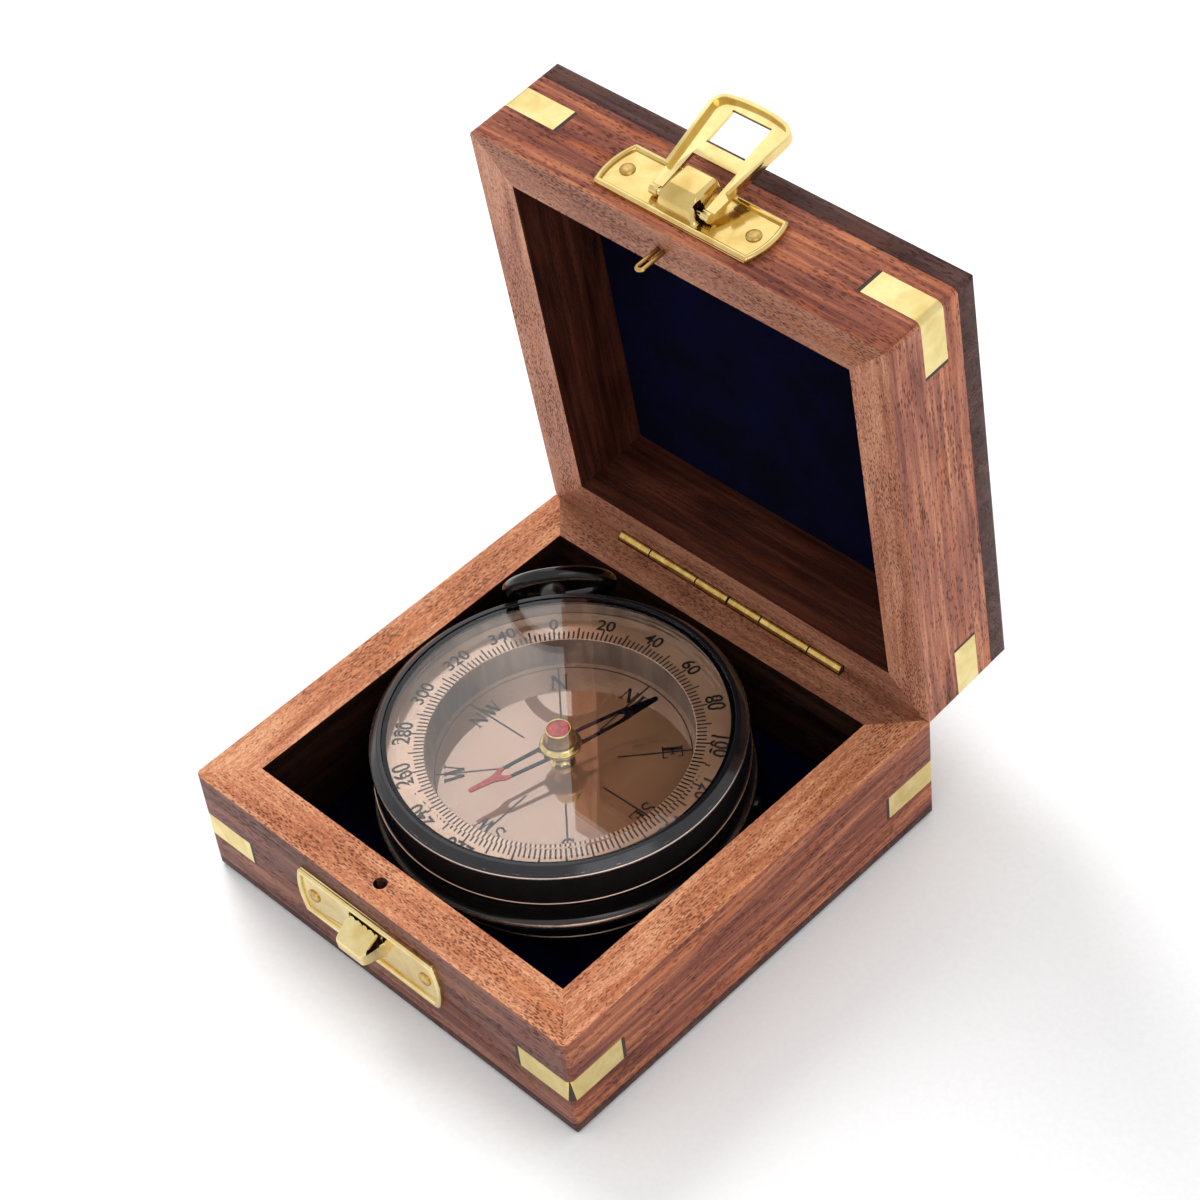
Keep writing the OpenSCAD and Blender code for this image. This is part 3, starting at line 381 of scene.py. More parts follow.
def cut_through(form, place, facing, drop=False):
    """Cuts a form's faces along a plane, and drops what stands before it where drop is set."""
    whole = list(form.verts) + list(form.edges) + list(form.faces)
    return bmesh.ops.bisect_plane(form, geom=whole, dist=CUT_REACH, plane_co=place, plane_no=facing,
                                  clear_outer=drop)


def split_corner(form):
    """Opens the strip's fold in a thin wedge, wider at its foot, and fills it with dark resin."""
    top = max(vert.co.z for vert in form.verts)
    along = Vector((1, 1, 0)).normalized()
    for way in (-1, 1):
        edge = along * way * SPLIT_TOP + Vector((0, 0, top))
        cut_through(form, edge, along * way + Vector((0, 0, SPLIT_SPREAD)))
    for face in form.faces:
        middle = face.calc_center_median()
        if middle.x > BOX_HALF - INLAY_LEG / 2 and -middle.y > BOX_HALF - INLAY_LEG / 2:
            if abs(middle.dot(along)) < SPLIT_TOP + (top - middle.z) * SPLIT_SPREAD:
                face.material_index = 1


# Dark resin fills the inlays' rebates; the same finish is painted shade in the hinges' joints and on the floor
# under the plates' hoods
resin_and_shade = dark_resin()
for half, on_lid in HALVES:
    pale_brass = polished_brass(half + "_inlay_brass", PALE_BRASS, DEEP_BRASS, 0.36, on_lid, 0.25)
    shut = to_shut(on_lid)
    for corner in ("front_left", "front_right", "back_left", "back_right"):
        node = f"{half}_inlay_{corner}"
        form = taken_up(node)
        bmesh.ops.transform(form, matrix=shut, verts=form.verts)
        reach = BOX_HALF - INLAY_LEG + FILLER_RUN
        for axis in (Vector((1, 0, 0)), Vector((0, 1, 0))):
            for sign in (-1, 1):
                cut_through(form, axis * sign * reach, axis)
        for face in form.faces:
            middle = face.calc_center_median()
            face.material_index = int(min(abs(middle.x), abs(middle.y)) < reach - HAIR)
        if node == SPLIT_INLAY:
            split_corner(form)
        bmesh.ops.transform(form, matrix=shut.inverted(), verts=form.verts)
        set_in_place(form, node + "_strip", node, [pale_brass, resin_and_shade])

# Hinges
# Two brass hinges of rolled sheet, their leaves let into saw cuts in the back walls and held by short
# nails. The knuckles are drawn gold brass, and the lid's knuckle turns on a steel pin. Thin dark lines
# are painted in the joints between the knuckles, as painted shade in their gaps.
GOLD_BRASS = (222, 190, 114)
OLD_GOLD = (174, 136, 70)
BARREL_REACH = 1.5 * MM
JOINT_SHADE_WIDTH = 0.1 * MM


def turned_steel(name, bright, deep):
    finish, tree, skin = new_finish(name)
    places = in_millimetres(tree)
    stains = grain(tree, places, 1.2, rough=0.7)
    tree.links.new(toned(tree, stains, (0.38, tint(*deep)), (0.62, tint(*bright))),
                   skin.inputs["Base Color"])
    tree.links.new(between(tree, stains, 0.3, 0.7, 0.45, 0.25), skin.inputs["Roughness"])
    skin.inputs["Metallic"].default_value = 1
    return finish


def on_knuckle(face):
    return (face.calc_center_median().yz - HINGE.yz).length < BARREL_REACH


def grime_the_joints(form):
    """Paints shade a hair's breadth wide at each end of a knuckle, in the joint between knuckles."""
    caps = [face for face in form.faces if on_knuckle(face) and abs(face.normal.x) > 0.9]
    ends = sorted({round(face.calc_center_median().x, 5) for face in caps})
    for end in ends:
        for side in (-1, 1):
            cut_through(form, (end + side * JOINT_SHADE_WIDTH, 0, 0), (1, 0, 0))
    for face in form.faces:
        level = face.calc_center_median().x
        if on_knuckle(face) and any(abs(level - end) < JOINT_SHADE_WIDTH for end in ends):
            face.material_index = 1


hinge_brass = polished_brass("hinge_brass", GOLD_BRASS, OLD_GOLD, 0.2, cloud=0.5, rub=(9, 0.6, 0.6))
nail_brass = polished_brass("nail_brass", (214, 184, 116), (176, 138, 76), 0.3, cloud=1.2, dirt=0.5)
pin_steel = turned_steel("pin_steel", (176, 172, 166), (96, 88, 80))
leaves = [f"{side}_hinge_{half}_leaf" for side in ("left", "right") for half in ("base", "lid")]
hinge_pieces = [(node, hinge_brass) for node in leaves]
hinge_pieces += [(f"{side}_hinge_pin", pin_steel) for side in ("left", "right")]
hinge_pieces += [(f"{half}_hinge_nails", nail_brass) for half in ("base", "lid")]
for node, metal in hinge_pieces:
    form = taken_up(node)
    ease(form, lambda e: sharp_outside(e, 50) and e.calc_length() > 1 * MM, 0.06 * MM)
    # The leaves' knuckles get painted shade in their joints
    if node in leaves:
        grime_the_joints(form)
    set_in_place(form, node + "_made", node, [metal, resin_and_shade])

# Catch plate, latch plate and their nails
# Both plates are thin gold brass sheet, pressed with a rolled border and a drawn hump or nose, then
# polished. Each is held by two domed nails, whose heads are a little duller than the sheet. The points
# of the plates' corners are filed off, and the hump and the nose are torn where they were stretched.
# One brass in two copies: the catch plate's painted lighter and the latch plate's darker, as painted light and
# shade
SHEET_LIT_AND_SHADED_TONES = {"base": ((242, 224, 168), (222, 194, 128)), "lid": ((226, 200, 134), (200, 168, 100))}
plate_brass_lit_and_shaded = {half: polished_brass(half + "_plate_brass_lit_and_shaded", *SHEET_LIT_AND_SHADED_TONES[half], 0.14, on_lid, 0.2, (0.7, 8, 8))
               for half, on_lid in HALVES}
PLATE_X = -2.1
FRONT_Y = -50.0
SHEET_T = 0.6
HOOD_T = 0.5
CORNER_CUT = 0.14 * MM
NOSE_AT = 17.24
NOSE_REACH = 3.35
NOSE_HALF = 4.5
NOSE_FLANK = 7
NOSE_BEND = 0.7
HUMP_AT = 31.0
HUMP_REACH = 9.4
HUMP_HALF = 4.9
HUMP_FLANK = 3.6
EYE_UP = 2.4
EYE_OUT = 1.9
ROWS = 44
ROUNDING = 6
SKIRT = 0.4
TUCK = 0.05
TEAR_LIFT = 0.35
PROUD = 0.02
ROOM = 0.1


def soft_least(heights, softness):
    """The lowest of some slopes, with the ridges between them rounded over."""
    return -softness * math.log(sum(math.exp(-h / softness) for h in heights))


def nose_height(x, z):
    """The catch's nose, drawn down and forwards out of the sheet and torn open along its top."""
    chin = (z + NOSE_REACH) * NOSE_FLANK
    brow = 5.8 - (z - NOSE_BEND) * 1.9
    front = 5.9 + (z - NOSE_BEND) * 0.12
    flanks = [(x + NOSE_HALF) * NOSE_FLANK, (NOSE_HALF - x) * NOSE_FLANK]
    return soft_least([chin, brow, front, *flanks], 0.42)


def hump_height(x, z):
    """The latch plate's hump: a steep front, a brow, a flat top and two leaning flanks."""
    front = z * HUMP_FLANK + 0.3
    brow = 3.1 + (z - 0.8) * 0.8
    top = 4.9 + (z - 4) * 0.04
    back = (HUMP_REACH - z) * 6
    flanks = [(x + HUMP_HALF) * HUMP_FLANK, (HUMP_HALF - x) * HUMP_FLANK]
    return soft_least([front, brow, top, back, *flanks], 0.2)


def drawn_hood(form, height, wide, low, high, origin, torn):
    """A hood drawn up out of the sheet: a fine mesh raised by its height, torn where torn says so."""
    cells = bmesh.ops.create_grid(form, x_segments=ROWS, y_segments=ROWS, size=0.5)
    spots = {}
    for vert in cells["verts"]:
        x = vert.co.x * 2 * (wide + SKIRT)
        z = low - SKIRT + (vert.co.y + 0.5) * (high - low + 2 * SKIRT)
        spots[vert] = (x, z)
        ragged = 0.24 * math.sin(x * 3.7) + 0.1 * math.sin(x * 9.1 + 1) - 0.12
        edge = ragged if torn(x, z + TEAR_LIFT) else 0
        out = max(height(x, z), SHEET_T - TUCK)
        vert.co = Vector((PLATE_X + x, FRONT_Y - out, origin + z + edge)) * MM
    sheet = list(form.faces)
    gone = [face for face in sheet if any(torn(*spots[vert]) for vert in face.verts)]
    kept = [face for face in sheet if face not in gone]
    bmesh.ops.delete(form, geom=gone, context="FACES")
    inner = [vert for vert in form.verts if vert.link_faces and not vert.is_boundary]
    for _ in range(ROUNDING):
        bmesh.ops.smooth_vert(form, verts=inner, factor=0.5,
                              use_axis_x=True, use_axis_y=True, use_axis_z=True)
    bmesh.ops.recalc_face_normals(form, faces=kept)
    if kept[len(kept) // 2].normal.y > 0:
        bmesh.ops.reverse_faces(form, faces=kept)
    bmesh.ops.solidify(form, geom=kept, thickness=HOOD_T * MM)


def torn_nose(x, z):
    return z > 3.15 or (3.9 < x < 4.4 and z > 0.6 + 0.3 * math.sin(x * 9))


def torn_hump(x, z):
    from_eye = math.hypot(z - EYE_UP - 0.2, hump_height(x, z) - EYE_OUT - 0.2)
    return 3.6 < abs(x) < 4.75 and from_eye < 1.25 + 0.25 * math.sin(z * 8)


def trim_corners(form):
    """Files the point off each of a plate's four corners, where its rolled border turns."""
    for across in (-1, 1):
        for up in (-1, 1):
            way = Vector((across * 0.563, 0, up * 0.826)).normalized()
            point = max(vert.co.dot(way) for vert in form.verts)
            cut = cut_through(form, way * (point - CORNER_CUT), way, drop=True)
            ring = [item for item in cut["geom_cut"] if isinstance(item, bmesh.types.BMEdge)]
            bmesh.ops.contextual_create(form, geom=ring)
    bmesh.ops.recalc_face_normals(form, faces=form.faces)


HOODS = {"catch_plate": (nose_height, 4.3, -NOSE_REACH, 3.2, NOSE_AT, torn_nose),
         "latch_plate": (hump_height, 4.85, 0, HUMP_REACH, HUMP_AT, torn_hump)}
for node, (height, wide, low, high, origin, torn) in HOODS.items():
    shut = to_shut(node == "latch_plate")
    form = taken_up(node)
    bmesh.ops.transform(form, matrix=shut, verts=form.verts)
    trim_corners(form)
    ease(form, lambda e: sharp_outside(e, 24) and e.calc_length() > 0.9 * MM, 0.16 * MM, 3)
    level = FRONT_Y - SHEET_T - PROUD
    cut_through(form, (0, level * MM, 0), (0, 1, 0))
    raised = []
    for face in form.faces:
        spot = face.calc_center_median() / MM
        inside = abs(spot.x - PLATE_X) < wide + ROOM and low - ROOM < spot.z - origin < high + ROOM
        if inside and spot.y < level:
            raised.append(face)
    bmesh.ops.delete(form, geom=raised, context="FACES")
    # The hole the hood was drawn from gets a floor in the dark finish: painted shade, seen through the hood's
    # tears
    lanced = [edge for edge in form.edges if edge.is_boundary]
    shade_floor = bmesh.ops.triangle_fill(form, edges=lanced, normal=(0, -1, 0))
    for piece in shade_floor["geom"]:
        if isinstance(piece, bmesh.types.BMFace):
            piece.material_index = 1
    bmesh.ops.recalc_face_normals(form, faces=form.faces)
    bmesh.ops.transform(form, matrix=shut.inverted(), verts=form.verts)
    brass = [plate_brass_lit_and_shaded[BODY_OF[node]], resin_and_shade]
    set_in_place(form, node + "_pressing", node, brass, 30)
    hood = bmesh.new()
    drawn_hood(hood, height, wide, low, high, origin, torn)
    bmesh.ops.transform(hood, matrix=shut.inverted(), verts=hood.verts)
    set_in_place(hood, node + "_hood", node, brass, 65, instead=False)
for node in ("catch_nails", "latch_nails"):
    set_in_place(taken_up(node), node + "_driven", node, [nail_brass], 40)

# Hasp
# One pressing of the same gold brass sheet: a tray with folded edges round a near square window, its
# two arms turned in at the ends and sprung into the hump of the latch plate, where they swing.
hasp_brass = polished_brass("hasp_brass", (236, 214, 152), (214, 184, 116), 0.12, True, 0.2, (8, 0.7, 0.7))
form = taken_up("hasp")
ease(form, lambda e: sharp_outside(e, 40) and e.calc_length() > 0.3 * MM, 0.22 * MM, 3)
set_in_place(form, "hasp_pressing", "hasp", [hasp_brass])

# Locating loop
# A bent piece of thin brass wire, driven into the lid's front rim. It drops into a hole in the lower
# rim as the lid shuts, and keeps the two fronts in line.
wire_brass = polished_brass("wire_brass", (222, 186, 116), (150, 112, 60), 0.24, True)
set_in_place(taken_up("lid_locating_loop"), "locating_wire", "lid_locating_loop", [wire_brass], 60)

# Compass case
# The case is turned from copper and blackened: a foot, a cove, a half-round bead and a straight side
# under a small shoulder. Thin light copper lines run along its crests: partly bare copper where the
# black has worn off, partly painted highlights on the rounded edges.
CASE_AT = Vector((-2.6, 2.0, 5.2)) * MM
TURNS = 192
SEAM_REACH = 0.0005 * MM
FOOT_R = 33.0
COVE_R = 32.4
COVE_Z = 1.2
COVE_H = 6.4
CASE_R = 36.2
BEAD_R = 37.4
BEAD_Z = 8.8
BEAD_ROUND = 1.1
SHOULDER_R = 36.8
SHOULDER_Z = 15.8
COLLAR_R = 34.95
BARREL_R = 33.45
COLLAR_TOP = 22.1
DIAL_Z = 12.6
DIAL_T = 1.0
SHELF_R = 30.45
SHELF_Z = 10.4
FLOOR_T = 2
ROUND_STEPS = 4


def rounded(points):
    """A turned outline from corners of (radius, height, rounding, wear and painted highlight), each corner rounded
    over.
    """
    outline = []
    for i, (radius, height, size, wear_and_highlight) in enumerate(points):
        here = Vector((radius, height))
        if not size or i in (0, len(points) - 1):
            outline.append((radius, height, wear_and_highlight))
            continue
        before = here + (Vector(points[i - 1][:2]) - here).normalized() * size
        after = here + (Vector(points[i + 1][:2]) - here).normalized() * size
        for step in range(ROUND_STEPS + 1):
            t = step / ROUND_STEPS
            spot = before.lerp(here, t).lerp(here.lerp(after, t), t)
            outline.append((spot.x, spot.y, wear_and_highlight * min(1.0, 2.4 * (1 - abs(2 * t - 1)))))
    return outline


def arc_outline(centre_r, centre_z, radius, start, end, steps, wear_and_highlight_at, wear_and_highlight_spread):
    """Round part of a turned outline; its wear and painted highlight are greatest at one angle."""
    outline = []
    for step in range(steps + 1):
        angle = start + (end - start) * step / steps
        wear_and_highlight = max(0.0, 1 - abs(angle - wear_and_highlight_at) / wear_and_highlight_spread)
        a = math.radians(angle)
        outline.append((centre_r + radius * math.cos(a), centre_z + radius * math.sin(a), wear_and_highlight))
    return outline


def turned(outline):
    """Closes an outline of (radius, height, wear and painted highlight) and spins it round the compass axis."""
    form = bmesh.new()
    worn_and_highlit = form.verts.layers.float.new("wear_and_highlight")
    verts = []
    for radius, height, wear_and_highlight in outline:
        vert = form.verts.new(CASE_AT + Vector((radius, 0, height)) * MM)
        vert[worn_and_highlit] = wear_and_highlight
        verts.append(vert)
    edges = [form.edges.new(pair) for pair in zip(verts, verts[1:])]
    edges.append(form.edges.new((verts[-1], verts[0])))
    bmesh.ops.spin(form, geom=verts + edges, cent=CASE_AT, axis=(0, 0, 1), angle=math.tau, steps=TURNS,
                   use_merge=True)
    bmesh.ops.remove_doubles(form, verts=form.verts, dist=SEAM_REACH)
    bmesh.ops.recalc_face_normals(form, faces=form.faces)
    return form


def blackened_copper(name, skin_tone=(54, 49, 49), rough=0.2, bare_and_highlight=(236, 196, 172)):
    """Black patina with a waxed gloss, turned to light copper where the piece is worn and where highlights are
    painted on its edges.
    """
    finish, tree, skin = new_finish(name)
    places = in_millimetres(tree)
    # The wear mark carries both bare copper and painted highlights on the rounded edges
    worn_and_highlit = lay(tree, "Attribute", attribute_name="wear_and_highlight").outputs["Fac"]
    patch = grain(tree, places, 0.25, rough=0.65, warp=0.5)
    grit = grain(tree, places, 2.6, rough=0.75)
    share = sum_of(tree, worn_and_highlit, between(tree, sum_of(tree, patch, grit), 0.7, 1.3, 0.55, 1.1), "MULTIPLY")
    rubbed_and_highlit = between(tree, share, 0.3, 0.62)
    darker = tint(*[c * 0.85 for c in skin_tone])
    black = mixed(tree, between(tree, patch, 0.45, 0.7), tint(*skin_tone), darker)
    tree.links.new(mixed(tree, rubbed_and_highlit, black, tint(*bare_and_highlight)), skin.inputs["Base Color"])
    tree.links.new(between(tree, rubbed_and_highlit, 0, 1, 0.55, 1), skin.inputs["Metallic"])
    tree.links.new(sum_of(tree, between(tree, grit, 0.3, 0.7, rough - 0.04, rough + 0.08),
                          sum_of(tree, rubbed_and_highlit, 0.12, "MULTIPLY")), skin.inputs["Roughness"])
    give_relief(tree, skin, grit, 0.12, 0.03)
    skin.inputs["Coat Weight"].default_value = 0.35
    skin.inputs["Coat Roughness"].default_value = 0.12
    return finish


def silvered(name):
    finish, tree, skin = new_finish(name)
    haze = grain(tree, stretched(tree, in_millimetres(tree), (0.3, 0.3, 0.04)), 1, rough=0.5)
    tree.links.new(toned(tree, haze, (0.35, tint(146, 140, 136)), (0.65, tint(176, 169, 164))),
                   skin.inputs["Base Color"])
    tree.links.new(between(tree, haze, 0.3, 0.7, 0.4, 0.34), skin.inputs["Roughness"])
    skin.inputs["Metallic"].default_value = 1
    return finish


case_outline = (
    rounded([(0, 0, 0, 0), (FOOT_R, 0, 0.3, 0.6), (FOOT_R, 1.0, 0.25, 1), (COVE_R, COVE_Z, 0, 0)])
    + [(COVE_R + (BEAD_R - BEAD_ROUND - COVE_R) * (1 - math.cos(math.radians(a))),
        COVE_Z + COVE_H * math.sin(math.radians(a)), 0) for a in range(6, 85, 6)]
    + arc_outline(BEAD_R - BEAD_ROUND, BEAD_Z, BEAD_ROUND, -72, 72, 24, 40, 26)
    + rounded([(CASE_R, BEAD_Z + 1.5, 0, 0), (CASE_R, SHOULDER_Z - 1.6, 0, 0),
               (SHOULDER_R, SHOULDER_Z - 0.45, 0.1, 0), (SHOULDER_R, SHOULDER_Z, 0.2, 1),
               (COLLAR_R, SHOULDER_Z, 0, 0), (COLLAR_R, COLLAR_TOP, 0, 0), (BARREL_R, COLLAR_TOP, 0, 0),
               (BARREL_R, DIAL_Z - DIAL_T, 0, 0), (SHELF_R, DIAL_Z - DIAL_T, 0, 0), (SHELF_R, SHELF_Z, 0, 0),
               (FOOT_R - 1.9, FLOOR_T, 0, 0), (0, FLOOR_T, 0, 0)]))
form = turned(case_outline)
for face in form.faces:
    middle = face.calc_center_median() - CASE_AT
    face.material_index = int(middle.z > DIAL_Z * MM and middle.xy.length < (BARREL_R + 0.5) * MM)
black_copper = blackened_copper("blackened_copper")
set_in_place(form, "turned_case", "case_body", [black_copper, silvered("silvered_wall")])

# Side stud
# A small round-ended knob of the same blackened copper, low on the case's side. It is turned in one with
# its shank, which is riveted over inside the wall.
set_in_place(taken_up("side_stud"), "riveted_stud", "side_stud", [black_copper], 50)

# Dial plate
# A disc of copper polished like a mirror and lacquered, dropped on its ledge. The points of the
# compass, the cross of lines and the thin circle are engraved in it and filled with black wax.
NORTH = math.radians(137)
DIAL_R = 33.4
POST_R = 1.3
CIRCLE_R = 25.0
CIRCLE_W = 0.22
LINE_W = 0.38
LINE_START = 10.5
LETTER_R = 19.2
LETTER_H = 4.0
LETTER_GAP = 0.14
CURL_STEPS = 9
FILL_RISE = 0.02
SNUG = 0.05
DIAL_COPPER = (172, 125, 94)
DIAL_DEEP = (160, 112, 84)


def mirror_copper(name, bright, deep, rough, metal, lacquer):
    """Polished copper under a hard lacquer, which throws back the room's white light untinted."""
    finish, tree, skin = new_finish(name)
    places = in_millimetres(tree)
    haze = grain(tree, places, 0.07, rough=0.5, warp=0.5, detail=2)
    hairs = grain(tree, stretched(tree, places, (0.4, 9, 1), 0.6), 1, rough=0.7)
    tree.links.new(toned(tree, haze, (0.3, tint(*deep)), (0.7, tint(*bright))),
                   skin.inputs["Base Color"])
    tree.links.new(between(tree, hairs, 0.5, 0.8, rough, rough + 0.03), skin.inputs["Roughness"])
    skin.inputs["Metallic"].default_value = metal
    skin.inputs["Coat Weight"].default_value = 1
    skin.inputs["Coat IOR"].default_value = lacquer
    skin.inputs["Coat Roughness"].default_value = 0.5 * rough
    return finish


def black_wax(name):
    finish, tree, skin = new_finish(name)
    crumbs = grain(tree, in_millimetres(tree), 6.0, rough=0.8)
    tree.links.new(toned(tree, crumbs, (0.35, tint(9, 8, 8)), (0.7, tint(26, 21, 20))),
                   skin.inputs["Base Color"])
    tree.links.new(between(tree, crumbs, 0.3, 0.7, 0.35, 0.55), skin.inputs["Roughness"])
    return finish


form = turned(rounded([(POST_R + SNUG, DIAL_Z - DIAL_T, 0, 0), (DIAL_R, DIAL_Z - DIAL_T, 0, 0),
                       (DIAL_R, DIAL_Z, 0.1, 0), (POST_R + SNUG, DIAL_Z, 0.05, 0)]))
dial_copper = mirror_copper("dial_copper", DIAL_COPPER, DIAL_DEEP, 0.04, 0.35, 2.05)
set_in_place(form, "dial_disc", "dial_plate", [dial_copper])


def on_dial(bearing, radius, level):
    """Where a mark lies on the dial: its top points outwards along a bearing, clockwise from north."""
    centre = Matrix.Translation(CASE_AT + Vector((0, 0, level * MM)))
    spin = Matrix.Rotation(NORTH - math.radians(bearing) - math.pi / 2, 4, "Z")
    return centre @ spin @ Matrix.Translation((0, radius * MM, 0))


def stroke(form, place, start, end, width):
    """One filled cut between two spots, in millimetres on the mark's own flat."""
    a, b = Vector(start), Vector(end)
    middle = (a + b) / 2
    lean = math.atan2(b.y - a.y, b.x - a.x)
    cut = (Matrix.Translation(Vector((middle.x, middle.y, 0)) * MM) @ Matrix.Rotation(lean, 4, "Z")
           @ Matrix.Diagonal(((b - a).length * MM, width * MM, 1, 1)))
    bmesh.ops.create_grid(form, x_segments=1, y_segments=1, size=0.5, matrix=place @ cut)


def curl(form, place, centre, radius, start, end, width):
    """A bent cut, made of short strokes."""
    angles = [math.radians(start + (end - start) * i / CURL_STEPS) for i in range(CURL_STEPS + 1)]
    spots = [(centre[0] + radius * math.cos(a), centre[1] + radius * math.sin(a)) for a in angles]
    for spot, after in zip(spots, spots[1:]):
        stroke(form, place, spot, after, width)


# Strokes of the four letters in parts of their height: start, end and width, thick and thin by turns
LETTERS = {
    "N": (0.92, [((0.14, 0), (0.14, 1), 0.09), ((0.8, 0), (0.8, 1), 0.09), ((0.14, 0.97), (0.8, 0.03), 0.2),
                 ((0, 0.97), (0.24, 0.97), 0.06), ((0, 0.03), (0.28, 0.03), 0.06),
                 ((0.66, 0.97), (0.94, 0.97), 0.06)]),
    "E": (0.8, [((0.2, 0), (0.2, 1), 0.2), ((0.02, 0.97), (0.74, 0.97), 0.07),
                ((0.02, 0.03), (0.78, 0.03), 0.07), ((0.2, 0.5), (0.56, 0.5), 0.07),
                ((0.72, 0.98), (0.72, 0.74), 0.06), ((0.76, 0.02), (0.76, 0.28), 0.06),
                ((0.55, 0.38), (0.55, 0.62), 0.06)]),
    "W": (1.2, [((0.14, 1), (0.4, 0.02), 0.19), ((0.4, 0.02), (0.62, 0.98), 0.08),
                ((0.56, 1), (0.82, 0.02), 0.19), ((0.82, 0.02), (1.06, 0.98), 0.08),
                ((0, 0.97), (0.3, 0.97), 0.06), ((0.44, 0.97), (0.74, 0.97), 0.06),
                ((0.94, 0.97), (1.2, 0.97), 0.06)]),
    "S": (0.66, [((0.6, 0.7), (0.6, 0.98), 0.06), ((0.06, 0.3), (0.06, 0.02), 0.06)]),
}
wax = black_wax("black_wax")
form = bmesh.new()
for number, word in enumerate(("N", "NE", "E", "SE", "S", "SW", "W", "NW")):
    place = on_dial(45 * number, LETTER_R, DIAL_Z + 2 * FILL_RISE)
    width = sum(LETTERS[letter][0] for letter in word) + LETTER_GAP * (len(word) - 1)
    height = LETTER_H if len(word) == 1 else 0.8 * LETTER_H
    x = -width / 2
    for letter in word:
        for start, end, thick in LETTERS[letter][1]:
            spots = [((x + u) * height, v * height) for u, v in (start, end)]
            stroke(form, place, *spots, thick * height)
        if letter == "S":
            upper = ((x + 0.33) * height, 0.735 * height)
            lower = ((x + 0.33) * height, 0.275 * height)
            curl(form, place, upper, 0.225 * height, 25, 270, 0.12 * height)
            curl(form, place, lower, 0.235 * height, 90, -155, 0.12 * height)
        x += LETTERS[letter][0] + LETTER_GAP
    line = on_dial(45 * number, 0, DIAL_Z + FILL_RISE)
    stroke(form, line, (0, LINE_START), (0, CIRCLE_R), LINE_W)
set_in_place(form, "dial_points", "dial_plate", [wax], instead=False)

form = bmesh.new()
level = Matrix.Translation(CASE_AT + Vector((0, 0, (DIAL_Z + FILL_RISE) * MM)))
bmesh.ops.create_circle(form, cap_ends=False, radius=CIRCLE_R * MM, segments=TURNS, matrix=level)
band = bmesh.ops.extrude_edge_only(form, edges=form.edges[:])
outer = [v for v in band["geom"] if isinstance(v, bmesh.types.BMVert)]
wide = (CIRCLE_R + CIRCLE_W) / CIRCLE_R
bmesh.ops.scale(form, vec=(wide, wide, 1), verts=outer, space=Matrix.Translation(-CASE_AT))
bmesh.ops.reverse_faces(form, faces=form.faces[:])
set_in_place(form, "dial_circle", "dial_plate", [wax], instead=False)

# Degree ring
# A raised copper ring that stands on the dial, with a wide flat flange for the scale. The degrees are
# cut every two, longer at every ten, numbered at every twenty and filled black, and then polished.
RING_TOP = 19.6
WELL_R = 26.2
RING_WALL = 0.8
RING_T = 1.0
TICK_SHORT = (26.35, 28.3)
TICK_LONG = (26.35, 29.3)
TICK_W = 0.36
NUMBER_R = 30.3
NUMBER_H = 2.7
NUMBER_BOLD = 0.07 * MM
CAPITAL_SHARE = 0.7
SCALE_COPPER = (206, 161, 130)
SCALE_DEEP = (190, 141, 110)


def cast_from(curve):
    """A form with the shape that a curve or a line of lettering draws."""
    drawn = bpy.data.objects.new(curve.name, curve)
    bpy.context.scene.collection.objects.link(drawn)
    bpy.context.view_layer.update()
    form = bmesh.new()
    form.from_mesh(drawn.to_mesh())
    drawn.to_mesh_clear()
    bpy.data.objects.remove(drawn)
    return form


form = turned(rounded([(WELL_R, DIAL_Z, 0, 0), (WELL_R + RING_WALL, DIAL_Z, 0, 0),
                       (WELL_R + RING_WALL, RING_TOP - RING_T, 0, 0), (DIAL_R, RING_TOP - RING_T, 0, 0),
                       (DIAL_R, RING_TOP, 0.08, 0), (WELL_R, RING_TOP, 0.22, 0), (WELL_R, DIAL_Z, 0, 0)]))
for face in form.faces:
    middle = face.calc_center_median() - CASE_AT
    face.material_index = int(middle.xy.length < WELL_R * MM + 2 * HAIR)
scale_copper = mirror_copper("scale_copper", SCALE_COPPER, SCALE_DEEP, 0.22, 0.4, 2.0)
set_in_place(form, "degree_ring", "chapter_ring", [scale_copper, silvered("silvered_well")])

form = bmesh.new()
for degree in range(0, 360, 2):
    start, end = TICK_LONG if degree % 10 == 0 else TICK_SHORT
    stroke(form, on_dial(degree, 0, RING_TOP + FILL_RISE), (0, start), (0, end), TICK_W)
set_in_place(form, "degree_ticks", "chapter_ring", [wax], instead=False)

for degree in range(0, 360, 20):
    lettering = bpy.data.curves.new("number", "FONT")
    lettering.body = str(degree)
    lettering.size = NUMBER_H / CAPITAL_SHARE * MM
    lettering.align_x = "CENTER"
    lettering.align_y = "CENTER"
    lettering.offset = NUMBER_BOLD
    form = cast_from(lettering)
    bmesh.ops.transform(form, matrix=on_dial(degree, NUMBER_R, RING_TOP + FILL_RISE), verts=form.verts)
    set_in_place(form, f"number_{degree}", "chapter_ring", [wax], instead=False)

# Pivot post
# A brass post turned with a flange and screwed through the dial. It is drawn out to a hard point, on
# which the needle turns.
post_brass = polished_brass("post_brass", (238, 214, 140), (190, 156, 84), 0.16, cloud=0.8)
set_in_place(taken_up("pivot_post"), "turned_post", "pivot_post", [post_brass], 40)

# Needle
# A flat steel needle pierced with long slots and blued nearly black. The end that seeks north is dipped
# in red enamel from its shoulder to its blunt point.
NEEDLE_TURN = math.radians(254.3)
RED_START = 12.2


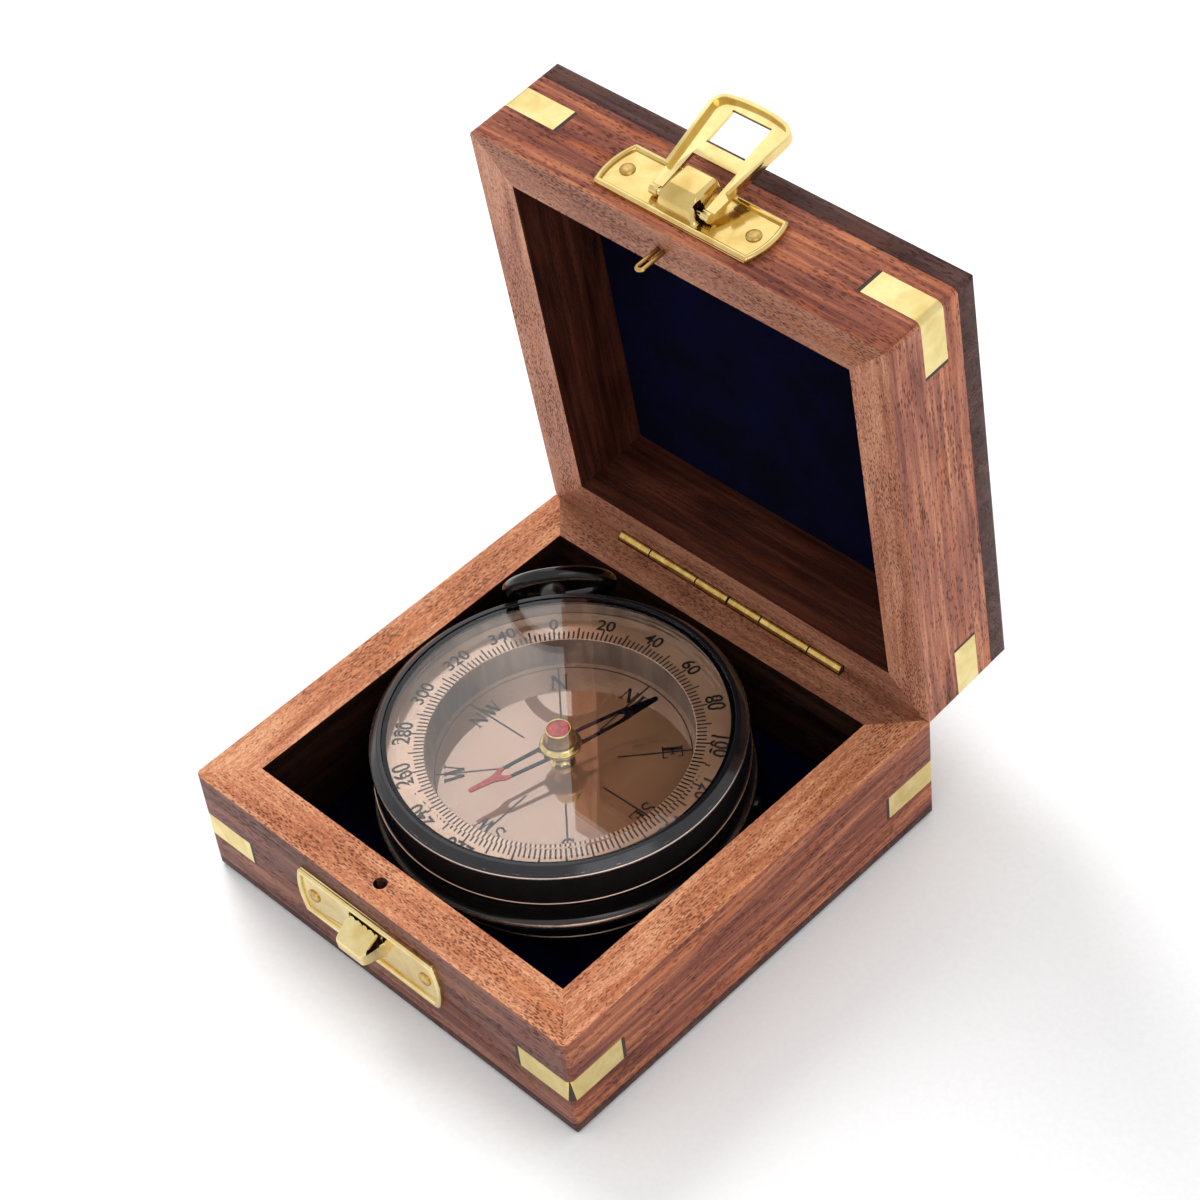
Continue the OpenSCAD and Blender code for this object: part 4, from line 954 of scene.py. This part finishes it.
def blued_steel():
    finish, tree, skin = new_finish("blued_steel")
    places = in_millimetres(tree)
    heat = grain(tree, places, 0.5, rough=0.6)
    centred = lay(tree, "Mapping", {0: places}, vector_type="TEXTURE")
    centred.inputs["Location"].default_value = CASE_AT / MM
    centred.inputs["Rotation"].default_value = (0, 0, NEEDLE_TURN)
    along = lay(tree, "SeparateXYZ", {0: centred.outputs[0]})
    edge = sum_of(tree, along.outputs[0], sum_of(tree, heat, 0.9, "MULTIPLY"))
    red = between(tree, edge, RED_START, RED_START + 0.25)
    blue = toned(tree, heat, (0.35, tint(12, 14, 22)), (0.65, tint(30, 34, 48)))
    enamel = toned(tree, grain(tree, places, 2.2), (0.35, tint(140, 4, 16)), (0.65, tint(186, 8, 24)))
    tree.links.new(mixed(tree, red, blue, enamel), skin.inputs["Base Color"])
    tree.links.new(between(tree, red, 0, 1, 0.85, 0), skin.inputs["Metallic"])
    tree.links.new(between(tree, heat, 0.3, 0.7, 0.22, 0.34), skin.inputs["Roughness"])
    skin.inputs["Coat Weight"].default_value = 0.1
    return finish


# Half of the blade's edge from its hub to each end, and half of each slot, as (along, across)
NORTH_EDGE = ((0, 3.3), (1.6, 2.9), (3.0, 2.0), (12.0, 1.62), (13.1, 1.62), (14.3, 1.0), (15.4, 0.72),
              (20.0, 0.44), (20.2, 0.3))
SOUTH_EDGE = ((1.6, 2.9), (3.0, 2.0), (12.6, 1.55), (14.4, 1.45), (15.6, 1.15), (21.3, 0.5), (21.7, 0.3))
NORTH_SLOT = ((4.0, 0.5), (4.4, 1.2), (12.0, 0.98), (12.7, 0.6), (13.1, 0.2))
SOUTH_SLOT = ((-4.0, 0.5), (-4.4, 1.2), (-12.6, 0.92), (-13.6, 0.6), (-14.2, 0.2))
NEEDLE_Z = 17.3
NEEDLE_T = 0.4
BLADE_EASE = 0.05
upper = [(-u, v) for u, v in SOUTH_EDGE[::-1]] + list(NORTH_EDGE)
outlines = [upper + [(u, -v) for u, v in upper[::-1]]]
outlines += [list(slot) + [(u, -v) for u, v in slot[::-1]] for slot in (NORTH_SLOT, SOUTH_SLOT)]
blade = bpy.data.curves.new("needle_blade", "CURVE")
blade.dimensions = "2D"
blade.fill_mode = "BOTH"
blade.extrude = (NEEDLE_T / 2 - BLADE_EASE) * MM
blade.bevel_depth = BLADE_EASE * MM
blade.offset = -BLADE_EASE * MM
for outline in outlines:
    cut = blade.splines.new("POLY")
    cut.points.add(len(outline) - 1)
    cut.use_cyclic_u = True
    for point, (u, v) in zip(cut.points, outline):
        point.co = (u * MM, v * MM, 0, 1)
form = cast_from(blade)
bmesh.ops.remove_doubles(form, verts=form.verts, dist=SEAM_REACH)
bmesh.ops.recalc_face_normals(form, faces=form.faces)
centre = Matrix.Translation(CASE_AT + Vector((0, 0, NEEDLE_Z + NEEDLE_T / 2)) * MM)
bmesh.ops.transform(form, matrix=centre @ Matrix.Rotation(NEEDLE_TURN, 4, "Z"), verts=form.verts)
set_in_place(form, "pierced_needle", "needle", [blued_steel()])

# Needle cap and its disc
# A stepped brass cap, turned and polished, riveted in the middle of the needle. It rides on the post's
# point, and a round disc of red enamel closes its top.
CAP_BASE = 17.7
# Corners of the cap as (radius, height over its base, rounding), and of the disc's half as (radius, height)
CAP_STEPS = ((1, -0.9, 0), (2.2, -0.9, 0), (2.2, 0, 0), (4.15, 0, 0.1), (4.15, 0.8, 0.3), (3.3, 1.05, 0.3),
             (2.95, 1.6, 0.3), (2.6, 4.8, 0.15), (2.25, 4.8, 0.06), (2.25, 4.3, 0), (0, 4.3, 0), (0, 2, 0),
             (0.3, 2, 0))
DISC_STEPS = ((0, 4.3), (2.2, 4.3), (2.2, 4.62), (2.0, 4.74), (1.4, 4.8), (0, 4.82))


def red_enamel():
    finish, tree, skin = new_finish("red_enamel")
    places = in_millimetres(tree)
    depth = grain(tree, places, 0.9, rough=0.6, warp=0.8)
    tree.links.new(toned(tree, depth, (0.35, tint(120, 4, 8)), (0.65, tint(206, 14, 16))),
                   skin.inputs["Base Color"])
    give_relief(tree, skin, depth, 0.35, 0.12)
    skin.inputs["Roughness"].default_value = 0.24
    skin.inputs["Specular IOR Level"].default_value = 0.3
    skin.inputs["Coat Weight"].default_value = 0.1
    return finish


cap_outline = rounded([(radius, CAP_BASE + height, size, 0) for radius, height, size in CAP_STEPS])
set_in_place(turned(cap_outline), "turned_cap", "needle_cap", [post_brass])
disc_outline = [(radius, CAP_BASE + height, 0) for radius, height in DISC_STEPS]
set_in_place(turned(disc_outline), "enamel_disc", "cap_jewel", [red_enamel()], 50)

# Bezel ring
# A heavy ring of gunmetal pressed down over the case's collar. Its top slopes up to the glass, and the
# sharp line round its edge is painted bright: partly rubbed, partly a painted highlight.
BEZEL_R = 36.6
BEZEL_TOP = 24.4
GLASS_R = 34.0
SEAT_Z = 23.0
GLASS_TOP = 24.8
LEDGE = 1.1
LEDGE_Z = 22.2
gunmetal = blackened_copper("gunmetal", (44, 43, 46), 0.15, (244, 226, 214))
bezel_outline = rounded([
    (BEZEL_R, SHOULDER_Z, 0.12, 0), (BEZEL_R, BEZEL_TOP - 1.7, 0.3, 1),
    (BEZEL_R - 0.5, BEZEL_TOP - 1.2, 0.15, 0.35), (GLASS_R + 0.9, BEZEL_TOP, 0.25, 0.2),
    (GLASS_R + SNUG, BEZEL_TOP, 0.08, 0), (GLASS_R + SNUG, SEAT_Z, 0, 0), (GLASS_R - LEDGE, SEAT_Z, 0.1, 0),
    (GLASS_R - LEDGE, LEDGE_Z, 0, 0), (COLLAR_R + SNUG, LEDGE_Z, 0, 0), (COLLAR_R + SNUG, SHOULDER_Z, 0, 0)])
form = turned(bezel_outline)
for face in form.faces:
    middle = face.calc_center_median() - CASE_AT
    face.material_index = int(middle.z < (BEZEL_TOP - 1.75) * MM)
set_in_place(form, "bezel", "bezel_ring", [gunmetal, black_copper])

# Crystal
# A disc of clear plate glass with a wide ground bevel, laid on the bezel's ledge. It is polished on
# both sides, and only a little dust lies on it.
GLASS_BEVEL = 3.2
BEVEL_DROP = 0.6


def plate_glass():
    finish, tree, skin = new_finish("plate_glass")
    dust = grain(tree, in_millimetres(tree), 1.6, rough=0.8)
    tree.links.new(between(tree, dust, 0.6, 0.8, 0.0, 0.03), skin.inputs["Roughness"])
    skin.inputs["Base Color"].default_value = (0.99, 1.0, 0.99, 1)
    skin.inputs["Transmission Weight"].default_value = 1
    skin.inputs["IOR"].default_value = 1.5
    return finish


form = turned(rounded([(0, SEAT_Z, 0, 0), (GLASS_R, SEAT_Z, 0.1, 0),
                       (GLASS_R, GLASS_TOP - BEVEL_DROP, 0.1, 0), (GLASS_R - GLASS_BEVEL, GLASS_TOP, 0, 0),
                       (0, GLASS_TOP, 0, 0)]))
crystal = set_in_place(form, "bevelled_crystal", "crystal", [plate_glass()], 8)
crystal.visible_shadow = False

# Pendant and bow
# A turned knob with a cross hole stands on the side of the bezel, and a thick ring of round rod swings
# loosely in it. Both are blackened copper, glossy from handling.
form = taken_up("pendant")
ease(form, lambda e: sharp_outside(e, 45) and e.calc_length() > 0.2 * MM, 0.12 * MM)
set_in_place(form, "turned_pendant", "pendant", [black_copper], 38)
bow_black = blackened_copper("bow_black", (22, 20, 20), 0.14)
set_in_place(taken_up("bow_ring"), "bow", "bow_ring", [bow_black], 60)

# Table, light and camera
# The compass stands on a plain white table in a bright room, with one large soft lamp high on its left,
# a window behind that shines only in what is polished, and a paler lamp on its right. The camera looks
# down at it from the front right.
CAMERA_AT = (0.311637, -0.250281, 0.46943)
CAMERA_TURN = (44.39107, 5.34477, 44.21776)
FOCAL = 93.7116
TABLE_HALF = 2.0
LIT_SPOT = (0, 0, 0.03)


def table_white():
    finish, tree, skin = new_finish("table_white")
    tooth = grain(tree, in_millimetres(tree), 0.8, rough=0.7)
    tree.links.new(toned(tree, tooth, (0.3, tint(244, 244, 245)), (0.7, tint(249, 249, 249))),
                   skin.inputs["Base Color"])
    skin.inputs["Roughness"].default_value = 0.6
    skin.inputs["Specular IOR Level"].default_value = 0.2
    return finish


form = bmesh.new()
bmesh.ops.create_grid(form, x_segments=1, y_segments=1, size=TABLE_HALF)
mesh = bpy.data.meshes.new("table_top")
form.to_mesh(mesh)
form.free()
mesh.materials.append(table_white())
table = bpy.data.objects.new("table_top", mesh)
bpy.context.scene.collection.objects.link(table)


def lamp(name, place, size, power):
    light = bpy.data.lights.new(name, "AREA")
    light.shape = "DISK"
    light.size = size
    light.energy = power
    source = bpy.data.objects.new(name, light)
    source.location = place
    aim = Vector(LIT_SPOT) - Vector(place)
    source.rotation_euler = aim.to_track_quat("-Z", "Y").to_euler()
    bpy.context.scene.collection.objects.link(source)
    return source


key = lamp("left_lamp", (-1.05, 0.36, 1.0), 0.7, 13)
key.visible_glossy = False
key.visible_transmission = False
window = lamp("window", (-0.63, 0.5, 0.98), 0.95, 1.4)
window.visible_diffuse = False
lamp("right_lamp", (0.95, -0.3, 0.8), 0.8, 2)
room = bpy.data.worlds.new("bright_room")
room.use_nodes = True
room.node_tree.nodes["Background"].inputs["Color"].default_value = (1, 1, 1, 1)
room.node_tree.nodes["Background"].inputs["Strength"].default_value = 0.9
bpy.context.scene.world = room
bpy.context.scene.view_settings.view_transform = "Standard"

eye = bpy.data.cameras.new("camera")
eye.lens = FOCAL
eye.sensor_width = 36
eye.clip_start = 0.01
camera = bpy.data.objects.new("camera", eye)
camera.location = CAMERA_AT
camera.rotation_euler = [math.radians(turn) for turn in CAMERA_TURN]
bpy.context.scene.collection.objects.link(camera)
bpy.context.scene.camera = camera
